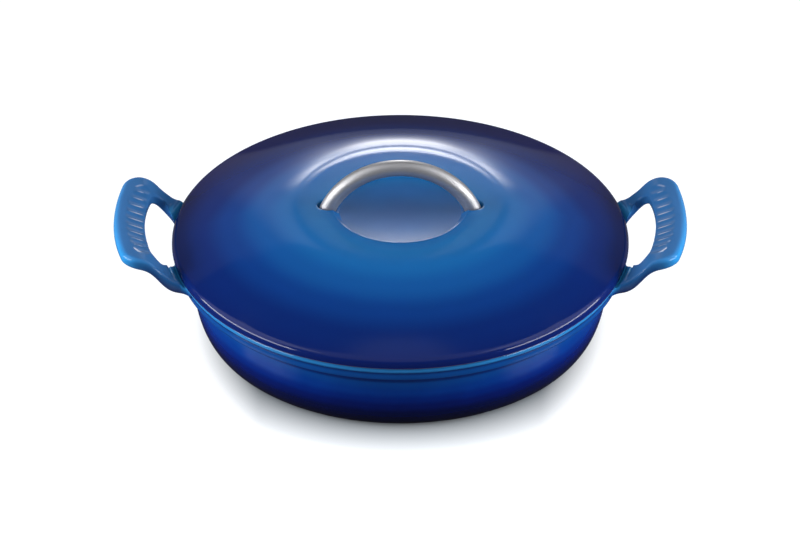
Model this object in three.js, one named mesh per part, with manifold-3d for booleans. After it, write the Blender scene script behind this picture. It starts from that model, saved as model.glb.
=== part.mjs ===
// A shallow round cast iron pot with a domed lid.
// The pot and its two loop handles are one casting and the lid is another. A bent steel bar stands
// in two sockets on the lid, and a screw with two washers holds each end of the bar from below.
// Millimetres, +Z up. The origin is on the floor under the pot's axis, and the handles point along X.
import * as THREE from 'three';
import { LoftGeometry } from 'three/addons/geometries/LoftGeometry.js';
import { mergeVertices } from 'three/addons/utils/BufferGeometryUtils.js';
import Module from 'manifold-3d';

const { degToRad, lerp, smoothstep } = THREE.MathUtils;

// Pot: body
const RIM_RADIUS = 152; // widest bead of the rim
const RIM_HEIGHT = 60.6; // top of the rim above the floor
const RIM_OVERHANG = 11.8; // from the outside of the wall to the widest bead
const RIM_ROUND = 1.5; // inner edge of the rim
const BAND_DEPTH = 10.6; // beaded band, from its top to its lower edge
const UPPER_BEAD = 2.6; // radius of the rim's upper bead
const LOWER_BEAD = 2.7; // radius of the lower bead
const LOWER_BEAD_SETBACK = 1; // how far the lower bead stays behind the upper one
const WALL_THICKNESS = 4.2;
const WALL_DRAW = 15.4; // how far the wall draws in from under the rim to the foot
const FLOOR_THICKNESS = 5;
const INSIDE_CORNER_RUN = 22; // inside corner between floor and wall, measured along the floor
const INSIDE_CORNER_RISE = 40; // and up the wall
const FOOT_WIDTH = 18; // flat ring that the pot stands on
const FOOT_RECESS = 0.8; // hollow inside that ring

// Pot: loop handles
const HANDLE_LENGTH = 104; // across both arms
const HANDLE_REACH = 41.2; // from the widest bead to the tip
const HANDLE_THICKNESS = 9;
const HANDLE_EDGE = 2.2; // rounding of the edges along the arms and the finger hole
const TIP_EDGE = 4.2; // rounding of the outer edge
const TIP_EDGE_END = 0.4; // share of the way from the tip to the root where that rounding starts to fade
const ARM_EDGE_START = 0.7; // and where it is as small as along the arms
const ARM_WIDTH = 12.7;
const GRIP_WIDTH = 21;
const TIP_BOW = 175; // plan radius of the outer edge
const HOLE_BOW = 140; // plan radius of the finger hole's outer edge
const OUTER_CORNER = 12.5; // plan radius of the handle's corners
const HOLE_CORNER = 8.5; // plan radius of the finger hole's outer corners
const HOLE_ROOT = 32; // finger hole's length along the rim
const HOLE_FLARE = 0.75; // how fully the arm's inner side is rounded into the rim
const ROOT_FLARE = 8; // plan radius of an arm's outer side into the rim
const ROOT_EMBED = 11.6; // how far an arm runs on inside the rim
const ARM_DROP = 2.2; // middle of the arm below the rim's top, where it leaves the rim
const NECK_RISE = 20.3; // swan neck, from the arm up to the grip
const NECK_OFFSET = 10.2; // middle of the neck beyond the widest bead
const NECK_SOFTNESS = 4.2; // the neck is steeper where this is smaller
const TIP_DROOP = 2; // how far the grip curls down at the tip
const DROOP_RUN = 11;
const LEDGE_DROP = 0.3; // arm below the rim's top, where the lid's edge passes over it
const LEDGE_RISE = 2.2; // ledge above the rim's top, outside the lid's edge
const STEP_CLEARANCE = 6.7; // from the lid's edge to the step at the ledge's end
const STEP_COVE = 2.5;
const FLUTE_COUNT = 10; // shallow cross flutes on the grip
const FLUTE_PITCH = 8.3;
const FLUTE_DEPTH = 0.6;
const FLUTE_INSET = 8; // from the tip to the flutes' outer ends
const FLUTE_TILT = degToRad(21);

// Lid
const LID_OVERHANG = 2; // lid's edge beyond the widest bead
const LID_EDGE = 6.5; // from the seat to the start of the dome
const LID_EDGE_ROUND = 1.8;
const LID_LOWER_ROUND = 1;
const LID_HEIGHT = 31.7; // from the seat to the flat crown
const LID_THICKNESS = 4.4;
const DOME_FOOT_SLOPE = degToRad(23);
const DOME_CROWN_SLOPE = degToRad(10.5);
const CROWN_WIDTH = 18.5; // flat ring round the dish
const CROWN_ROLL = 18; // rolled edge of the crown
const DISH_RADIUS = 47.5;
const DISH_LIP = 2.5; // rounding of the dish's lip
const DISH_WALL_SLOPE = degToRad(34);
const DISH_WALL_DROP = 4.4;
const DISH_FLOOR_DROP = 0.6; // from the foot of the dish's wall to its middle
const GUIDE_CLEARANCE = 1.5; // between the lid's guide ring and the inside of the pot
const GUIDE_WIDTH = 4;
const GUIDE_DEPTH = 3.5;
const GUIDE_CHAMFER = 0.8;

// Bar and its fixings
const BAR_DIAMETER = 11;
const BAR_RISE = 30.8; // middle of the bar above the crown
const SOCKET_DEPTH = 4; // level floor of each socket below the crown
const SOCKET_CLEARANCE = 0.5;
const BOSS_WALL = 4; // boss wider than the socket above it
const BOSS_WEB = 4.5; // metal between the socket and the screw's seat
const SCREW_DIAMETER = 5;
const SCREW_ENGAGEMENT = 8; // how far the screw reaches into the bar
const SCREW_CHAMFER = 1.2;
const HOLE_SPARE = 1.2; // blind hole beyond the screw's end
const SCREW_HEAD_DIAMETER = 9.5;
const SCREW_HEAD_HEIGHT = 3.7;
const SCREW_HEAD_ROUND = 1.2;
const RECESS_SPAN = 5; // cross recess in the screw's head
const RECESS_WIDTH = 1.1;
const RECESS_DEPTH = 2;
const FLAT_WASHER_DIAMETER = 12;
const FLAT_WASHER_THICKNESS = 1;
const SPRING_WASHER_DIAMETER = 9.2;
const SPRING_WASHER_THICKNESS = 1.2;
const SPRING_WASHER_SLIT = degToRad(14);

// Clearances
const FIT_GAP = 0.3; // between pieces that seat on each other

// Fineness of the round forms
const ROUND_STEPS = 52;
const SMALL_ROUND_STEPS = 24;
const HANDLE_STEPS = 20; // sections from the tip to each root
const BAR_STEPS = 36; // sections along the bar
const SWEEP_STEPS = 8; // long sweeps of a profile, such as the wall
const ARC_STEPS = 4; // beads, coves and lips
const EDGE_STEPS = 2; // small edge roundings
const CUT_MARGIN = 20; // how far a cutting shape runs past what it cuts
const MERGE_DISTANCE = 1e-4; // corners closer than this are one

// Values that follow from those above
const wallRadius = RIM_RADIUS - RIM_OVERHANG;
const insideRadius = wallRadius - WALL_THICKNESS;
const bandBottom = RIM_HEIGHT - BAND_DEPTH;
const seatHeight = RIM_HEIGHT + FIT_GAP;
const lidRadius = RIM_RADIUS + LID_OVERHANG;
const crownHeight = seatHeight + LID_HEIGHT;
const barRadius = BAR_DIAMETER / 2;
const bendRadius = (DISH_RADIUS ** 2 + BAR_RISE ** 2) / (2 * BAR_RISE);
const bendHeight = crownHeight + BAR_RISE - bendRadius;
const socketFloor = crownHeight - SOCKET_DEPTH;
const bossFace = socketFloor - BOSS_WEB;
const screwRadius = SCREW_DIAMETER / 2;

const wasm = await Module();
wasm.setup();

// Points on an ellipse from one angle to another.
function ellipseArc(x, y, rx, ry, from, to, steps) {
  const points = [];
  for (let i = 0; i <= steps; i++) {
    const angle = from + ((to - from) * i) / steps;
    points.push(new THREE.Vector2(x + rx * Math.cos(angle), y + ry * Math.sin(angle)));
  }
  return points;
}

function arc(x, y, radius, from, to, steps) {
  return ellipseArc(x, y, radius, radius, from, to, steps);
}

// A profile of (radius, height) points turned round the Z axis.
function turned(profile, steps = ROUND_STEPS) {
  return new THREE.LatheGeometry(profile, steps).rotateX(Math.PI / 2);
}

// A closed geometry as a solid that can be joined and cut.
function solid(geometry) {
  const bare = new THREE.BufferGeometry().setIndex(geometry.index);
  bare.setAttribute('position', geometry.getAttribute('position'));
  const merged = mergeVertices(bare, MERGE_DISTANCE);
  const vertProperties = new Float32Array(merged.getAttribute('position').array);
  const triVerts = new Uint32Array(merged.index.array);
  return new wasm.Manifold(new wasm.Mesh({ numProp: 3, vertProperties, triVerts }));
}

// A joined or cut solid as a geometry that can be drawn.
function drawn(body) {
  const mesh = body.getMesh();
  const geometry = new THREE.BufferGeometry();
  geometry.setAttribute('position', new THREE.BufferAttribute(mesh.vertProperties, 3));
  geometry.setIndex(new THREE.BufferAttribute(mesh.triVerts, 1));
  geometry.computeVertexNormals();
  return geometry;
}

// A round upright solid between two heights.
function upright(radius, bottom, top, steps = SMALL_ROUND_STEPS) {
  const geometry = new THREE.CylinderGeometry(radius, radius, top - bottom, steps).rotateX(Math.PI / 2);
  return geometry.translate(0, 0, (top + bottom) / 2);
}

// The pot's floor, wall and beaded rim, from the middle underneath round to the middle inside.
function potProfile() {
  const footRadius = wallRadius - WALL_DRAW;
  const footInner = footRadius - FOOT_WIDTH;
  const upperBeadRadius = RIM_RADIUS - UPPER_BEAD;
  const lowerBeadRadius = RIM_RADIUS - LOWER_BEAD_SETBACK - LOWER_BEAD;
  const cove = lowerBeadRadius - wallRadius;
  const wallTop = bandBottom - cove;
  const cornerTop = FLOOR_THICKNESS + INSIDE_CORNER_RISE;
  const cornerFoot = insideRadius - INSIDE_CORNER_RUN;
  return [
    new THREE.Vector2(0, FOOT_RECESS),
    new THREE.Vector2(footInner - FOOT_RECESS, FOOT_RECESS),
    new THREE.Vector2(footInner, 0),
    ...ellipseArc(footRadius, wallTop, WALL_DRAW, wallTop, -Math.PI / 2, 0, SWEEP_STEPS),
    ...arc(lowerBeadRadius, bandBottom - cove, cove, Math.PI, Math.PI / 2, ARC_STEPS).slice(1, -1),
    ...arc(lowerBeadRadius, bandBottom + LOWER_BEAD, LOWER_BEAD, -Math.PI / 2, Math.PI / 3, ARC_STEPS),
    ...arc(upperBeadRadius, RIM_HEIGHT - UPPER_BEAD, UPPER_BEAD, -Math.PI / 3, Math.PI / 2, ARC_STEPS),
    ...arc(insideRadius + RIM_ROUND, RIM_HEIGHT - RIM_ROUND, RIM_ROUND, Math.PI / 2, Math.PI, EDGE_STEPS),
    ...ellipseArc(cornerFoot, cornerTop, INSIDE_CORNER_RUN, INSIDE_CORNER_RISE, 0, -Math.PI / 2, SWEEP_STEPS),
    new THREE.Vector2(0, FLOOR_THICKNESS),
  ];
}

// The handle's outer outline in plan, from the tip round one corner and along the arm into the rim.
function outerOutline() {
  const tip = RIM_RADIUS + HANDLE_REACH;
  const bowCentre = tip - TIP_BOW;
  const side = HANDLE_LENGTH / 2;
  const cornerY = side - OUTER_CORNER;
  const cornerX = bowCentre + Math.sqrt((TIP_BOW - OUTER_CORNER) ** 2 - cornerY ** 2);
  const turn = Math.atan2(cornerY, cornerX - bowCentre);
  const flareY = side + ROOT_FLARE;
  const flareX = Math.sqrt((RIM_RADIUS + ROOT_FLARE) ** 2 - flareY ** 2);
  const bearing = Math.atan2(flareY, flareX);
  const root = RIM_RADIUS - ROOT_EMBED;
  const path = new THREE.Path();
  path.absarc(bowCentre, 0, TIP_BOW, 0, turn, false);
  path.absarc(cornerX, cornerY, OUTER_CORNER, turn, Math.PI / 2, false);
  path.absarc(flareX, flareY, ROOT_FLARE, -Math.PI / 2, bearing - Math.PI, true);
  path.lineTo(root * Math.cos(bearing), root * Math.sin(bearing));
  return path;
}

// The finger hole's outline in plan, from its outer edge round one end into the rim.
function holeOutline() {
  const edge = RIM_RADIUS + HANDLE_REACH - GRIP_WIDTH;
  const bowCentre = edge - HOLE_BOW;
  const side = HANDLE_LENGTH / 2 - ARM_WIDTH;
  const cornerY = side - HOLE_CORNER;
  const cornerX = bowCentre + Math.sqrt((HOLE_BOW - HOLE_CORNER) ** 2 - cornerY ** 2);
  const turn = Math.atan2(cornerY, cornerX - bowCentre);
  const bearing = Math.asin(HOLE_ROOT / 2 / RIM_RADIUS);
  const outward = new THREE.Vector2(Math.cos(bearing), Math.sin(bearing));
  const along = new THREE.Vector2(-outward.y, outward.x);
  const end = outward.clone().multiplyScalar(RIM_RADIUS);
  const leave = cornerX - HOLE_FLARE * (cornerX - end.x);
  const arrive = end.clone().addScaledVector(along, HOLE_FLARE * (side - end.y));
  const root = outward.clone().multiplyScalar(RIM_RADIUS - ROOT_EMBED);
  const path = new THREE.Path();
  path.absarc(bowCentre, 0, HOLE_BOW, 0, turn, false);
  path.absarc(cornerX, cornerY, HOLE_CORNER, turn, Math.PI / 2, false);
  path.bezierCurveTo(leave, side, arrive.x, arrive.y, end.x, end.y);
  path.lineTo(root.x, root.y);
  return path;
}

// Height of the middle of the handle's section at a distance from the pot's axis.
function handleHeight(x) {
  const neck = NECK_RISE / (1 + Math.exp((RIM_RADIUS + NECK_OFFSET - x) / NECK_SOFTNESS));
  const droopStart = RIM_RADIUS + HANDLE_REACH - DROOP_RUN;
  const droop = Math.max(0, x - droopStart) / DROOP_RUN;
  return RIM_HEIGHT - ARM_DROP + neck - TIP_DROOP * droop ** 2;
}

// One section of the handle: a rectangle with rounded corners between two points of its plan.
function handleSection(inner, outer, outerEdge) {
  const across = outer.clone().sub(inner);
  const width = across.length();
  const half = HANDLE_THICKNESS / 2;
  const corners = [
    ...arc(width - outerEdge, half - outerEdge, outerEdge, 0, Math.PI / 2, ARC_STEPS),
    ...arc(HANDLE_EDGE, half - HANDLE_EDGE, HANDLE_EDGE, Math.PI / 2, Math.PI, EDGE_STEPS),
    ...arc(HANDLE_EDGE, HANDLE_EDGE - half, HANDLE_EDGE, Math.PI, 1.5 * Math.PI, EDGE_STEPS),
    ...arc(width - outerEdge, outerEdge - half, outerEdge, 1.5 * Math.PI, 2 * Math.PI, ARC_STEPS),
  ];
  return corners.reverse().map((corner) => {
    const plan = inner.clone().addScaledVector(across, corner.x / width);
    return new THREE.Vector3(plan.x, plan.y, handleHeight(plan.x) + corner.y);
  });
}

// The space over the arms' ledge: everything above it as far as the step.
function ledgeCut() {
  const floor = RIM_HEIGHT - LEDGE_DROP;
  const ledge = RIM_HEIGHT + LEDGE_RISE;
  const step = lidRadius + STEP_CLEARANCE;
  const top = RIM_HEIGHT + NECK_RISE + CUT_MARGIN;
  return solid(
    turned([
      new THREE.Vector2(0, floor),
      new THREE.Vector2(lidRadius + FIT_GAP, floor),
      ...arc(step - STEP_COVE, ledge + STEP_COVE, STEP_COVE, -Math.PI / 2, 0, ARC_STEPS),
      new THREE.Vector2(step, top),
      new THREE.Vector2(0, top),
    ]),
  );
}

// One cross flute: a round bar laid on the grip so that it cuts deeper towards the finger hole.
function fluteCut(y) {
  const radius = (FLUTE_PITCH ** 2 / 4 + FLUTE_DEPTH ** 2) / (2 * FLUTE_DEPTH);
  const bow = TIP_BOW - Math.sqrt(TIP_BOW ** 2 - y ** 2);
  const start = RIM_RADIUS + HANDLE_REACH - FLUTE_INSET - bow;
  const length = 2 * (GRIP_WIDTH + CUT_MARGIN);
  const geometry = new THREE.CylinderGeometry(radius, radius, length, 2 * SMALL_ROUND_STEPS);
  geometry.rotateZ(Math.PI / 2);
  geometry.translate(0, 0, radius);
  geometry.rotateY(-FLUTE_TILT);
  geometry.translate(start, y, handleHeight(start) + HANDLE_THICKNESS / 2);
  return solid(geometry);
}

// The handle on the +X side, with its ledge and its flutes cut.
function handleSolid() {
  const outer = outerOutline().getSpacedPoints(HANDLE_STEPS);
  const inner = holeOutline().getSpacedPoints(HANDLE_STEPS);
  const sections = [];
  for (let i = -HANDLE_STEPS; i <= HANDLE_STEPS; i++) {
    const k = Math.abs(i);
    const side = new THREE.Vector2(1, Math.sign(i));
    const fade = smoothstep(k / HANDLE_STEPS, TIP_EDGE_END, ARM_EDGE_START);
    const edge = lerp(TIP_EDGE, HANDLE_EDGE, fade);
    sections.push(handleSection(inner[k].clone().multiply(side), outer[k].clone().multiply(side), edge));
  }
  let body = solid(new LoftGeometry(sections, { capStart: true, capEnd: true }));
  body = body.subtract(ledgeCut());
  for (let i = 0; i < FLUTE_COUNT; i++) {
    body = body.subtract(fluteCut((i - (FLUTE_COUNT - 1) / 2) * FLUTE_PITCH));
  }
  return body;
}

function potCasting() {
  const right = handleSolid();
  const left = solid(drawn(right).rotateZ(Math.PI));
  return drawn(solid(turned(potProfile())).add(right).add(left));
}

// The lid's upper surface, from the middle of the dish out to the top of its edge.
function lidTop() {
  const slope = DISH_WALL_SLOPE;
  const lipX = DISH_RADIUS + DISH_LIP * Math.tan(slope / 2);
  const lipEnd = Math.PI / 2 + slope;
  const footX = DISH_RADIUS - DISH_WALL_DROP / Math.tan(slope);
  const footZ = crownHeight - DISH_WALL_DROP;
  const dish = [];
  for (let i = 0; i <= ARC_STEPS; i++) {
    const share = i / ARC_STEPS;
    dish.push(new THREE.Vector2(footX * share, footZ - DISH_FLOOR_DROP * (1 - share ** 2)));
  }
  const lip = arc(lipX, crownHeight - DISH_LIP, DISH_LIP, lipEnd, Math.PI / 2, EDGE_STEPS);
  const crownRadius = DISH_RADIUS + CROWN_WIDTH;
  const rollRadius = CROWN_ROLL / Math.sin(DOME_CROWN_SLOPE);
  const rollEnd = Math.PI / 2 - DOME_CROWN_SLOPE;
  const roll = arc(crownRadius, crownHeight - rollRadius, rollRadius, Math.PI / 2, rollEnd, EDGE_STEPS);
  const top = roll.at(-1);
  const edgeEnd = Math.PI / 2 - DOME_FOOT_SLOPE;
  const edgeZ = seatHeight + LID_EDGE - LID_EDGE_ROUND * Math.sin(edgeEnd);
  const edge = arc(lidRadius - LID_EDGE_ROUND, edgeZ, LID_EDGE_ROUND, edgeEnd, 0, EDGE_STEPS);
  const foot = edge[0];
  const pull = top.distanceTo(foot) / 3;
  const dome = new THREE.CubicBezierCurve(
    top,
    new THREE.Vector2(Math.cos(DOME_CROWN_SLOPE), -Math.sin(DOME_CROWN_SLOPE)).multiplyScalar(pull).add(top),
    new THREE.Vector2(-Math.cos(DOME_FOOT_SLOPE), Math.sin(DOME_FOOT_SLOPE)).multiplyScalar(pull).add(foot),
    foot,
  );
  return [...dish, ...lip, ...roll, ...dome.getPoints(SWEEP_STEPS).slice(1, -1), ...edge];
}

// The whole lid: its underside follows the top, then comes the guide ring, the seat and the edge.
function lidProfile() {
  const top = lidTop();
  const guideOuter = insideRadius - GUIDE_CLEARANCE;
  const guideInner = guideOuter - GUIDE_WIDTH;
  const guideBottom = seatHeight - GUIDE_DEPTH;
  const under = top.filter((p) => p.x < guideInner - LID_THICKNESS);
  const lowerEdge = lidRadius - LID_LOWER_ROUND;
  return [
    ...under.map((p) => new THREE.Vector2(p.x, p.y - LID_THICKNESS)),
    new THREE.Vector2(guideInner, guideBottom + GUIDE_CHAMFER),
    new THREE.Vector2(guideInner + GUIDE_CHAMFER, guideBottom),
    new THREE.Vector2(guideOuter - GUIDE_CHAMFER, guideBottom),
    new THREE.Vector2(guideOuter, guideBottom + GUIDE_CHAMFER),
    new THREE.Vector2(guideOuter, seatHeight),
    ...arc(lowerEdge, seatHeight + LID_LOWER_ROUND, LID_LOWER_ROUND, -Math.PI / 2, 0, EDGE_STEPS),
    ...top.reverse(),
  ];
}

// Where the bar's middle line is at a height, as a distance from the lid's axis.
function barOffset(height) {
  return Math.sqrt(bendRadius ** 2 - (height - bendHeight) ** 2);
}

// Half the width of the bar where a level plane cuts it.
function barHalfWidth(height) {
  return (barRadius * bendRadius) / barOffset(height);
}

// The socket takes the bar from the crown down to the socket's floor.
const socketInner = barOffset(crownHeight) - barHalfWidth(crownHeight) - SOCKET_CLEARANCE;
const socketOuter = barOffset(socketFloor) + barHalfWidth(socketFloor) + SOCKET_CLEARANCE;
const socketOffset = (socketOuter + socketInner) / 2;
const socketRadius = (socketOuter - socketInner) / 2;
const screwOffset = barOffset(socketFloor + SCREW_ENGAGEMENT / 2);

// The air in the dish, as a solid.
function dishSpace() {
  const wall = lidTop().filter((p) => p.x < DISH_RADIUS + DISH_LIP);
  const top = crownHeight + CUT_MARGIN;
  return solid(turned([...wall, new THREE.Vector2(wall.at(-1).x, top), new THREE.Vector2(0, top)]));
}

function lidCasting() {
  let body = solid(turned(lidProfile()));
  const air = dishSpace();
  const spotRadius = FLAT_WASHER_DIAMETER / 2 + FIT_GAP;
  for (const side of [-1, 1]) {
    const boss = upright(socketRadius + BOSS_WALL, bossFace, crownHeight - LID_THICKNESS / 2);
    const socket = upright(socketRadius, socketFloor, crownHeight + CUT_MARGIN, 2 * SMALL_ROUND_STEPS);
    const spotFace = upright(spotRadius, bossFace - CUT_MARGIN, bossFace);
    const screwHole = upright(screwRadius + FIT_GAP, bossFace - CUT_MARGIN, crownHeight);
    body = body
      .add(solid(boss.translate(side * socketOffset, 0, 0)).subtract(air))
      .subtract(solid(socket.translate(side * socketOffset, 0, 0)))
      .subtract(solid(spotFace.translate(side * screwOffset, 0, 0)))
      .subtract(solid(screwHole.translate(side * screwOffset, 0, 0)));
  }
  return drawn(body);
}

// The bar's middle line: an arc in the XZ plane over the dish, run on at both ends.
class BarLine extends THREE.Curve {
  getPoint(t, target = new THREE.Vector3()) {
    const reach = Math.acos((bossFace - bendHeight) / bendRadius);
    const angle = reach * (2 * t - 1);
    return target.set(bendRadius * Math.sin(angle), 0, bendHeight + bendRadius * Math.cos(angle));
  }
}

// The bar: a round section along that line, with level ends and a blind hole up each end.
function lidBar() {
  const section = new THREE.Shape().absarc(0, 0, barRadius, 0, 2 * Math.PI, false);
  const options = { steps: BAR_STEPS, curveSegments: SMALL_ROUND_STEPS / 3, extrudePath: new BarLine() };
  const span = 2 * (bendRadius + CUT_MARGIN);
  const below = new THREE.BoxGeometry(span, span, CUT_MARGIN);
  below.translate(0, 0, socketFloor + FIT_GAP - CUT_MARGIN / 2);
  let body = solid(new THREE.ExtrudeGeometry(section, options)).subtract(solid(below));
  const holeTop = socketFloor + SCREW_ENGAGEMENT + HOLE_SPARE;
  for (const side of [-1, 1]) {
    const hole = upright(screwRadius + FIT_GAP, bossFace, holeTop);
    body = body.subtract(solid(hole.translate(side * screwOffset, 0, 0)));
  }
  return drawn(body);
}

// Heights of the fixings, counted down from the boss's face.
const flatWasherTop = -FIT_GAP;
const springWasherTop = flatWasherTop - FLAT_WASHER_THICKNESS - FIT_GAP;
const headTop = springWasherTop - SPRING_WASHER_THICKNESS - FIT_GAP;

// A pan head screw, head down, with a cross recess.
function barScrew() {
  const headRadius = SCREW_HEAD_DIAMETER / 2;
  const headBottom = headTop - SCREW_HEAD_HEIGHT;
  const tip = BOSS_WEB + SCREW_ENGAGEMENT;
  const roundX = headRadius - SCREW_HEAD_ROUND;
  const profile = [
    new THREE.Vector2(0, headBottom),
    ...arc(roundX, headBottom + SCREW_HEAD_ROUND, SCREW_HEAD_ROUND, -Math.PI / 2, 0, EDGE_STEPS),
    new THREE.Vector2(headRadius, headTop),
    new THREE.Vector2(screwRadius, headTop),
    new THREE.Vector2(screwRadius, tip - SCREW_CHAMFER),
    new THREE.Vector2(screwRadius - SCREW_CHAMFER, tip),
    new THREE.Vector2(0, tip),
  ];
  let body = solid(turned(profile, SMALL_ROUND_STEPS));
  for (const turn of [0, Math.PI / 2]) {
    const slot = new THREE.BoxGeometry(RECESS_SPAN, RECESS_WIDTH, 2 * RECESS_DEPTH);
    body = body.subtract(solid(slot.rotateZ(turn).translate(0, 0, headBottom)));
  }
  return drawn(body);
}

function flatWasher() {
  const bore = screwRadius + FIT_GAP;
  const radius = FLAT_WASHER_DIAMETER / 2;
  const bottom = flatWasherTop - FLAT_WASHER_THICKNESS;
  return turned(
    [
      new THREE.Vector2(bore, bottom),
      new THREE.Vector2(radius, bottom),
      new THREE.Vector2(radius, flatWasherTop),
      new THREE.Vector2(bore, flatWasherTop),
      new THREE.Vector2(bore, bottom),
    ],
    SMALL_ROUND_STEPS,
  );
}

// A split ring.
function springWasher() {
  const bore = screwRadius + FIT_GAP;
  const from = SPRING_WASHER_SLIT / 2;
  const to = 2 * Math.PI - from;
  const ring = new THREE.Shape();
  ring.absarc(0, 0, SPRING_WASHER_DIAMETER / 2, from, to, false);
  ring.absarc(0, 0, bore, to, from, true);
  const options = {
    depth: SPRING_WASHER_THICKNESS,
    bevelEnabled: false,
    curveSegments: SMALL_ROUND_STEPS / 2,
  };
  const bottom = springWasherTop - SPRING_WASHER_THICKNESS;
  return new THREE.ExtrudeGeometry(ring, options).translate(0, 0, bottom);
}

const potEnamel = new THREE.MeshStandardMaterial({ color: 0x245aa0, roughness: 0.12, metalness: 0 });
const lidEnamel = new THREE.MeshStandardMaterial({ color: 0x1a4590, roughness: 0.12, metalness: 0 });
const satinSteel = new THREE.MeshStandardMaterial({ color: 0xaeb2b6, roughness: 0.32, metalness: 1 });
const screwSteel = new THREE.MeshStandardMaterial({ color: 0x9b9fa3, roughness: 0.38, metalness: 1 });

function named(name, geometry, material) {
  const mesh = new THREE.Mesh(geometry, material);
  mesh.name = name;
  return mesh;
}

const lid = new THREE.Group();
lid.add(named('lid_casting', lidCasting(), lidEnamel));
lid.add(named('lid_bar', lidBar(), satinSteel));
for (const [end, side] of [['left', -1], ['right', 1]]) {
  const fixing = new THREE.Group();
  fixing.position.set(side * screwOffset, 0, bossFace);
  fixing.add(named(`bar_screw_${end}`, barScrew(), screwSteel));
  fixing.add(named(`flat_washer_${end}`, flatWasher(), screwSteel));
  fixing.add(named(`spring_washer_${end}`, springWasher(), screwSteel));
  lid.add(fixing);
}

const casserole = new THREE.Group();
casserole.add(named('pot_casting', potCasting(), potEnamel));
casserole.add(lid);

export default casserole;
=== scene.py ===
"""Looks of a shallow round cast iron pot with a domed lid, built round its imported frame.

The pot and lid are graded blue enamel, the lid's bar is satin steel, and the studio is pale and plain.
Everything is in metres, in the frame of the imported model: +Z up, the handles along X, the viewer at -Y.
"""

import logging
import math
from dataclasses import dataclass, field
from enum import Enum
from typing import Any, Mapping, Sequence, Union

import bpy
import numpy as np
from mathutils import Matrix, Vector


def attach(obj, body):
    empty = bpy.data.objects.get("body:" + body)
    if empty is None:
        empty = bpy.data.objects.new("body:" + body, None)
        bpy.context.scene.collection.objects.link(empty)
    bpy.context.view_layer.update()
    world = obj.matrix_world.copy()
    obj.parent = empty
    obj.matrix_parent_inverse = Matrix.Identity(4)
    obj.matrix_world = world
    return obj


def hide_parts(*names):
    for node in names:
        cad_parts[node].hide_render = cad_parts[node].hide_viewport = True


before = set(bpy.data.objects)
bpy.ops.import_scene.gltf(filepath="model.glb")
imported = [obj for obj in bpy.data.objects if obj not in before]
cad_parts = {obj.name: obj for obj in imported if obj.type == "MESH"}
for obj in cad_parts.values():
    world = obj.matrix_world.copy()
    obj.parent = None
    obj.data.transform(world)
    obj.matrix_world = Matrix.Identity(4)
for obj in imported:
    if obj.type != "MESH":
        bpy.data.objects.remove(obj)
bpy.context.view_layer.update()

LOG = logging.getLogger("casserole")
MM = 0.001
QUARTER = math.pi / 2
IMAGE_WIDTH = 800
SAME_POINT = 1e-7

Colour = tuple[float, float, float]
Stops = Sequence[tuple[float, Colour]]

MARKS = ("thin", "pooled", "crest", "inside")


class Body(Enum):
    """The two bodies that the pieces ride on."""

    POT = "pot"
    LID = "lid"


class Slot(Enum):
    """The record's material slots."""

    POT_ENAMEL = "pot_enamel"
    LID_ENAMEL = "lid_enamel"
    BAR_STEEL = "bar_steel"
    FIXING_STEEL = "fixing_steel"


class Along(Enum):
    """What an enamel's colour runs along."""

    HEIGHT = "height"
    RADIUS = "radius"


class Side(Enum):
    """A side of the object, as the sign of X."""

    LEFT = -1
    RIGHT = 1


def srgb(red: int, green: int, blue: int) -> Colour:
    """Turns a screen colour into linear light.

    Args:
        red: 0 to 255.
        green: 0 to 255.
        blue: 0 to 255.

    Returns:
        The linear colour, each channel from 0 to 1.
    """
    share = np.array([red, green, blue]) / 255
    linear = np.where(share <= 0.04045, share / 12.92, ((share + 0.055) / 1.055) ** 2.4)
    return tuple(float(c) for c in linear)


def arc(
    centre: tuple[float, float], radii: tuple[float, float], start: float, end: float, count: int
) -> np.ndarray:
    """Points on an ellipse: centre plus radii times (cosine, sine) of an angle from start to end.

    Args:
        centre: middle of the ellipse.
        radii: its two half axes.
        start: first angle, in radians.
        end: last angle.
        count: number of points.

    Returns:
        The points, one row each.
    """
    angle = np.linspace(start, end, count)
    return np.column_stack([centre[0] + radii[0] * np.cos(angle), centre[1] + radii[1] * np.sin(angle)])


def straight(start: Sequence[float], end: Sequence[float], count: int) -> np.ndarray:
    """Evenly spaced points on a line from start to end.

    Args:
        start: first point.
        end: last point.
        count: number of points.

    Returns:
        The points, one row each.
    """
    return np.linspace(np.asarray(start, float), np.asarray(end, float), count)


def chain(*parts: np.ndarray) -> np.ndarray:
    """Joins lines of points end to end, and drops each point that repeats the one before.

    Args:
        parts: the lines, in order.

    Returns:
        One line of points.
    """
    points = np.concatenate(parts)
    step = np.linalg.norm(np.diff(points, axis=0), axis=1)
    return points[np.concatenate([[True], step > SAME_POINT])]


def even(path: np.ndarray, count: int) -> np.ndarray:
    """Points at equal distances along a path.

    Args:
        path: the path's own points.
        count: number of points wanted.

    Returns:
        The evenly spaced points.
    """
    length = np.concatenate([[0], np.cumsum(np.linalg.norm(np.diff(path, axis=0), axis=1))])
    wanted = np.linspace(0, length[-1], count)
    return np.column_stack([np.interp(wanted, length, path[:, k]) for k in range(path.shape[1])])


def revolve(profile: np.ndarray, columns: int) -> np.ndarray:
    """A profile of radius and height turned round the Z axis: r cos a, r sin a and z for each angle a.

    Args:
        profile: radius and height, one row each.
        columns: number of angles.

    Returns:
        A grid of points, as rows along the profile by columns round the axis.
    """
    angle = np.linspace(0, 2 * math.pi, columns, endpoint=False)
    ring = np.stack([np.cos(angle), np.sin(angle)], axis=-1)
    height = np.repeat(profile[:, None, 1:], columns, axis=1)
    return np.concatenate([profile[:, None, :1] * ring[None], height], axis=-1)


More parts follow.
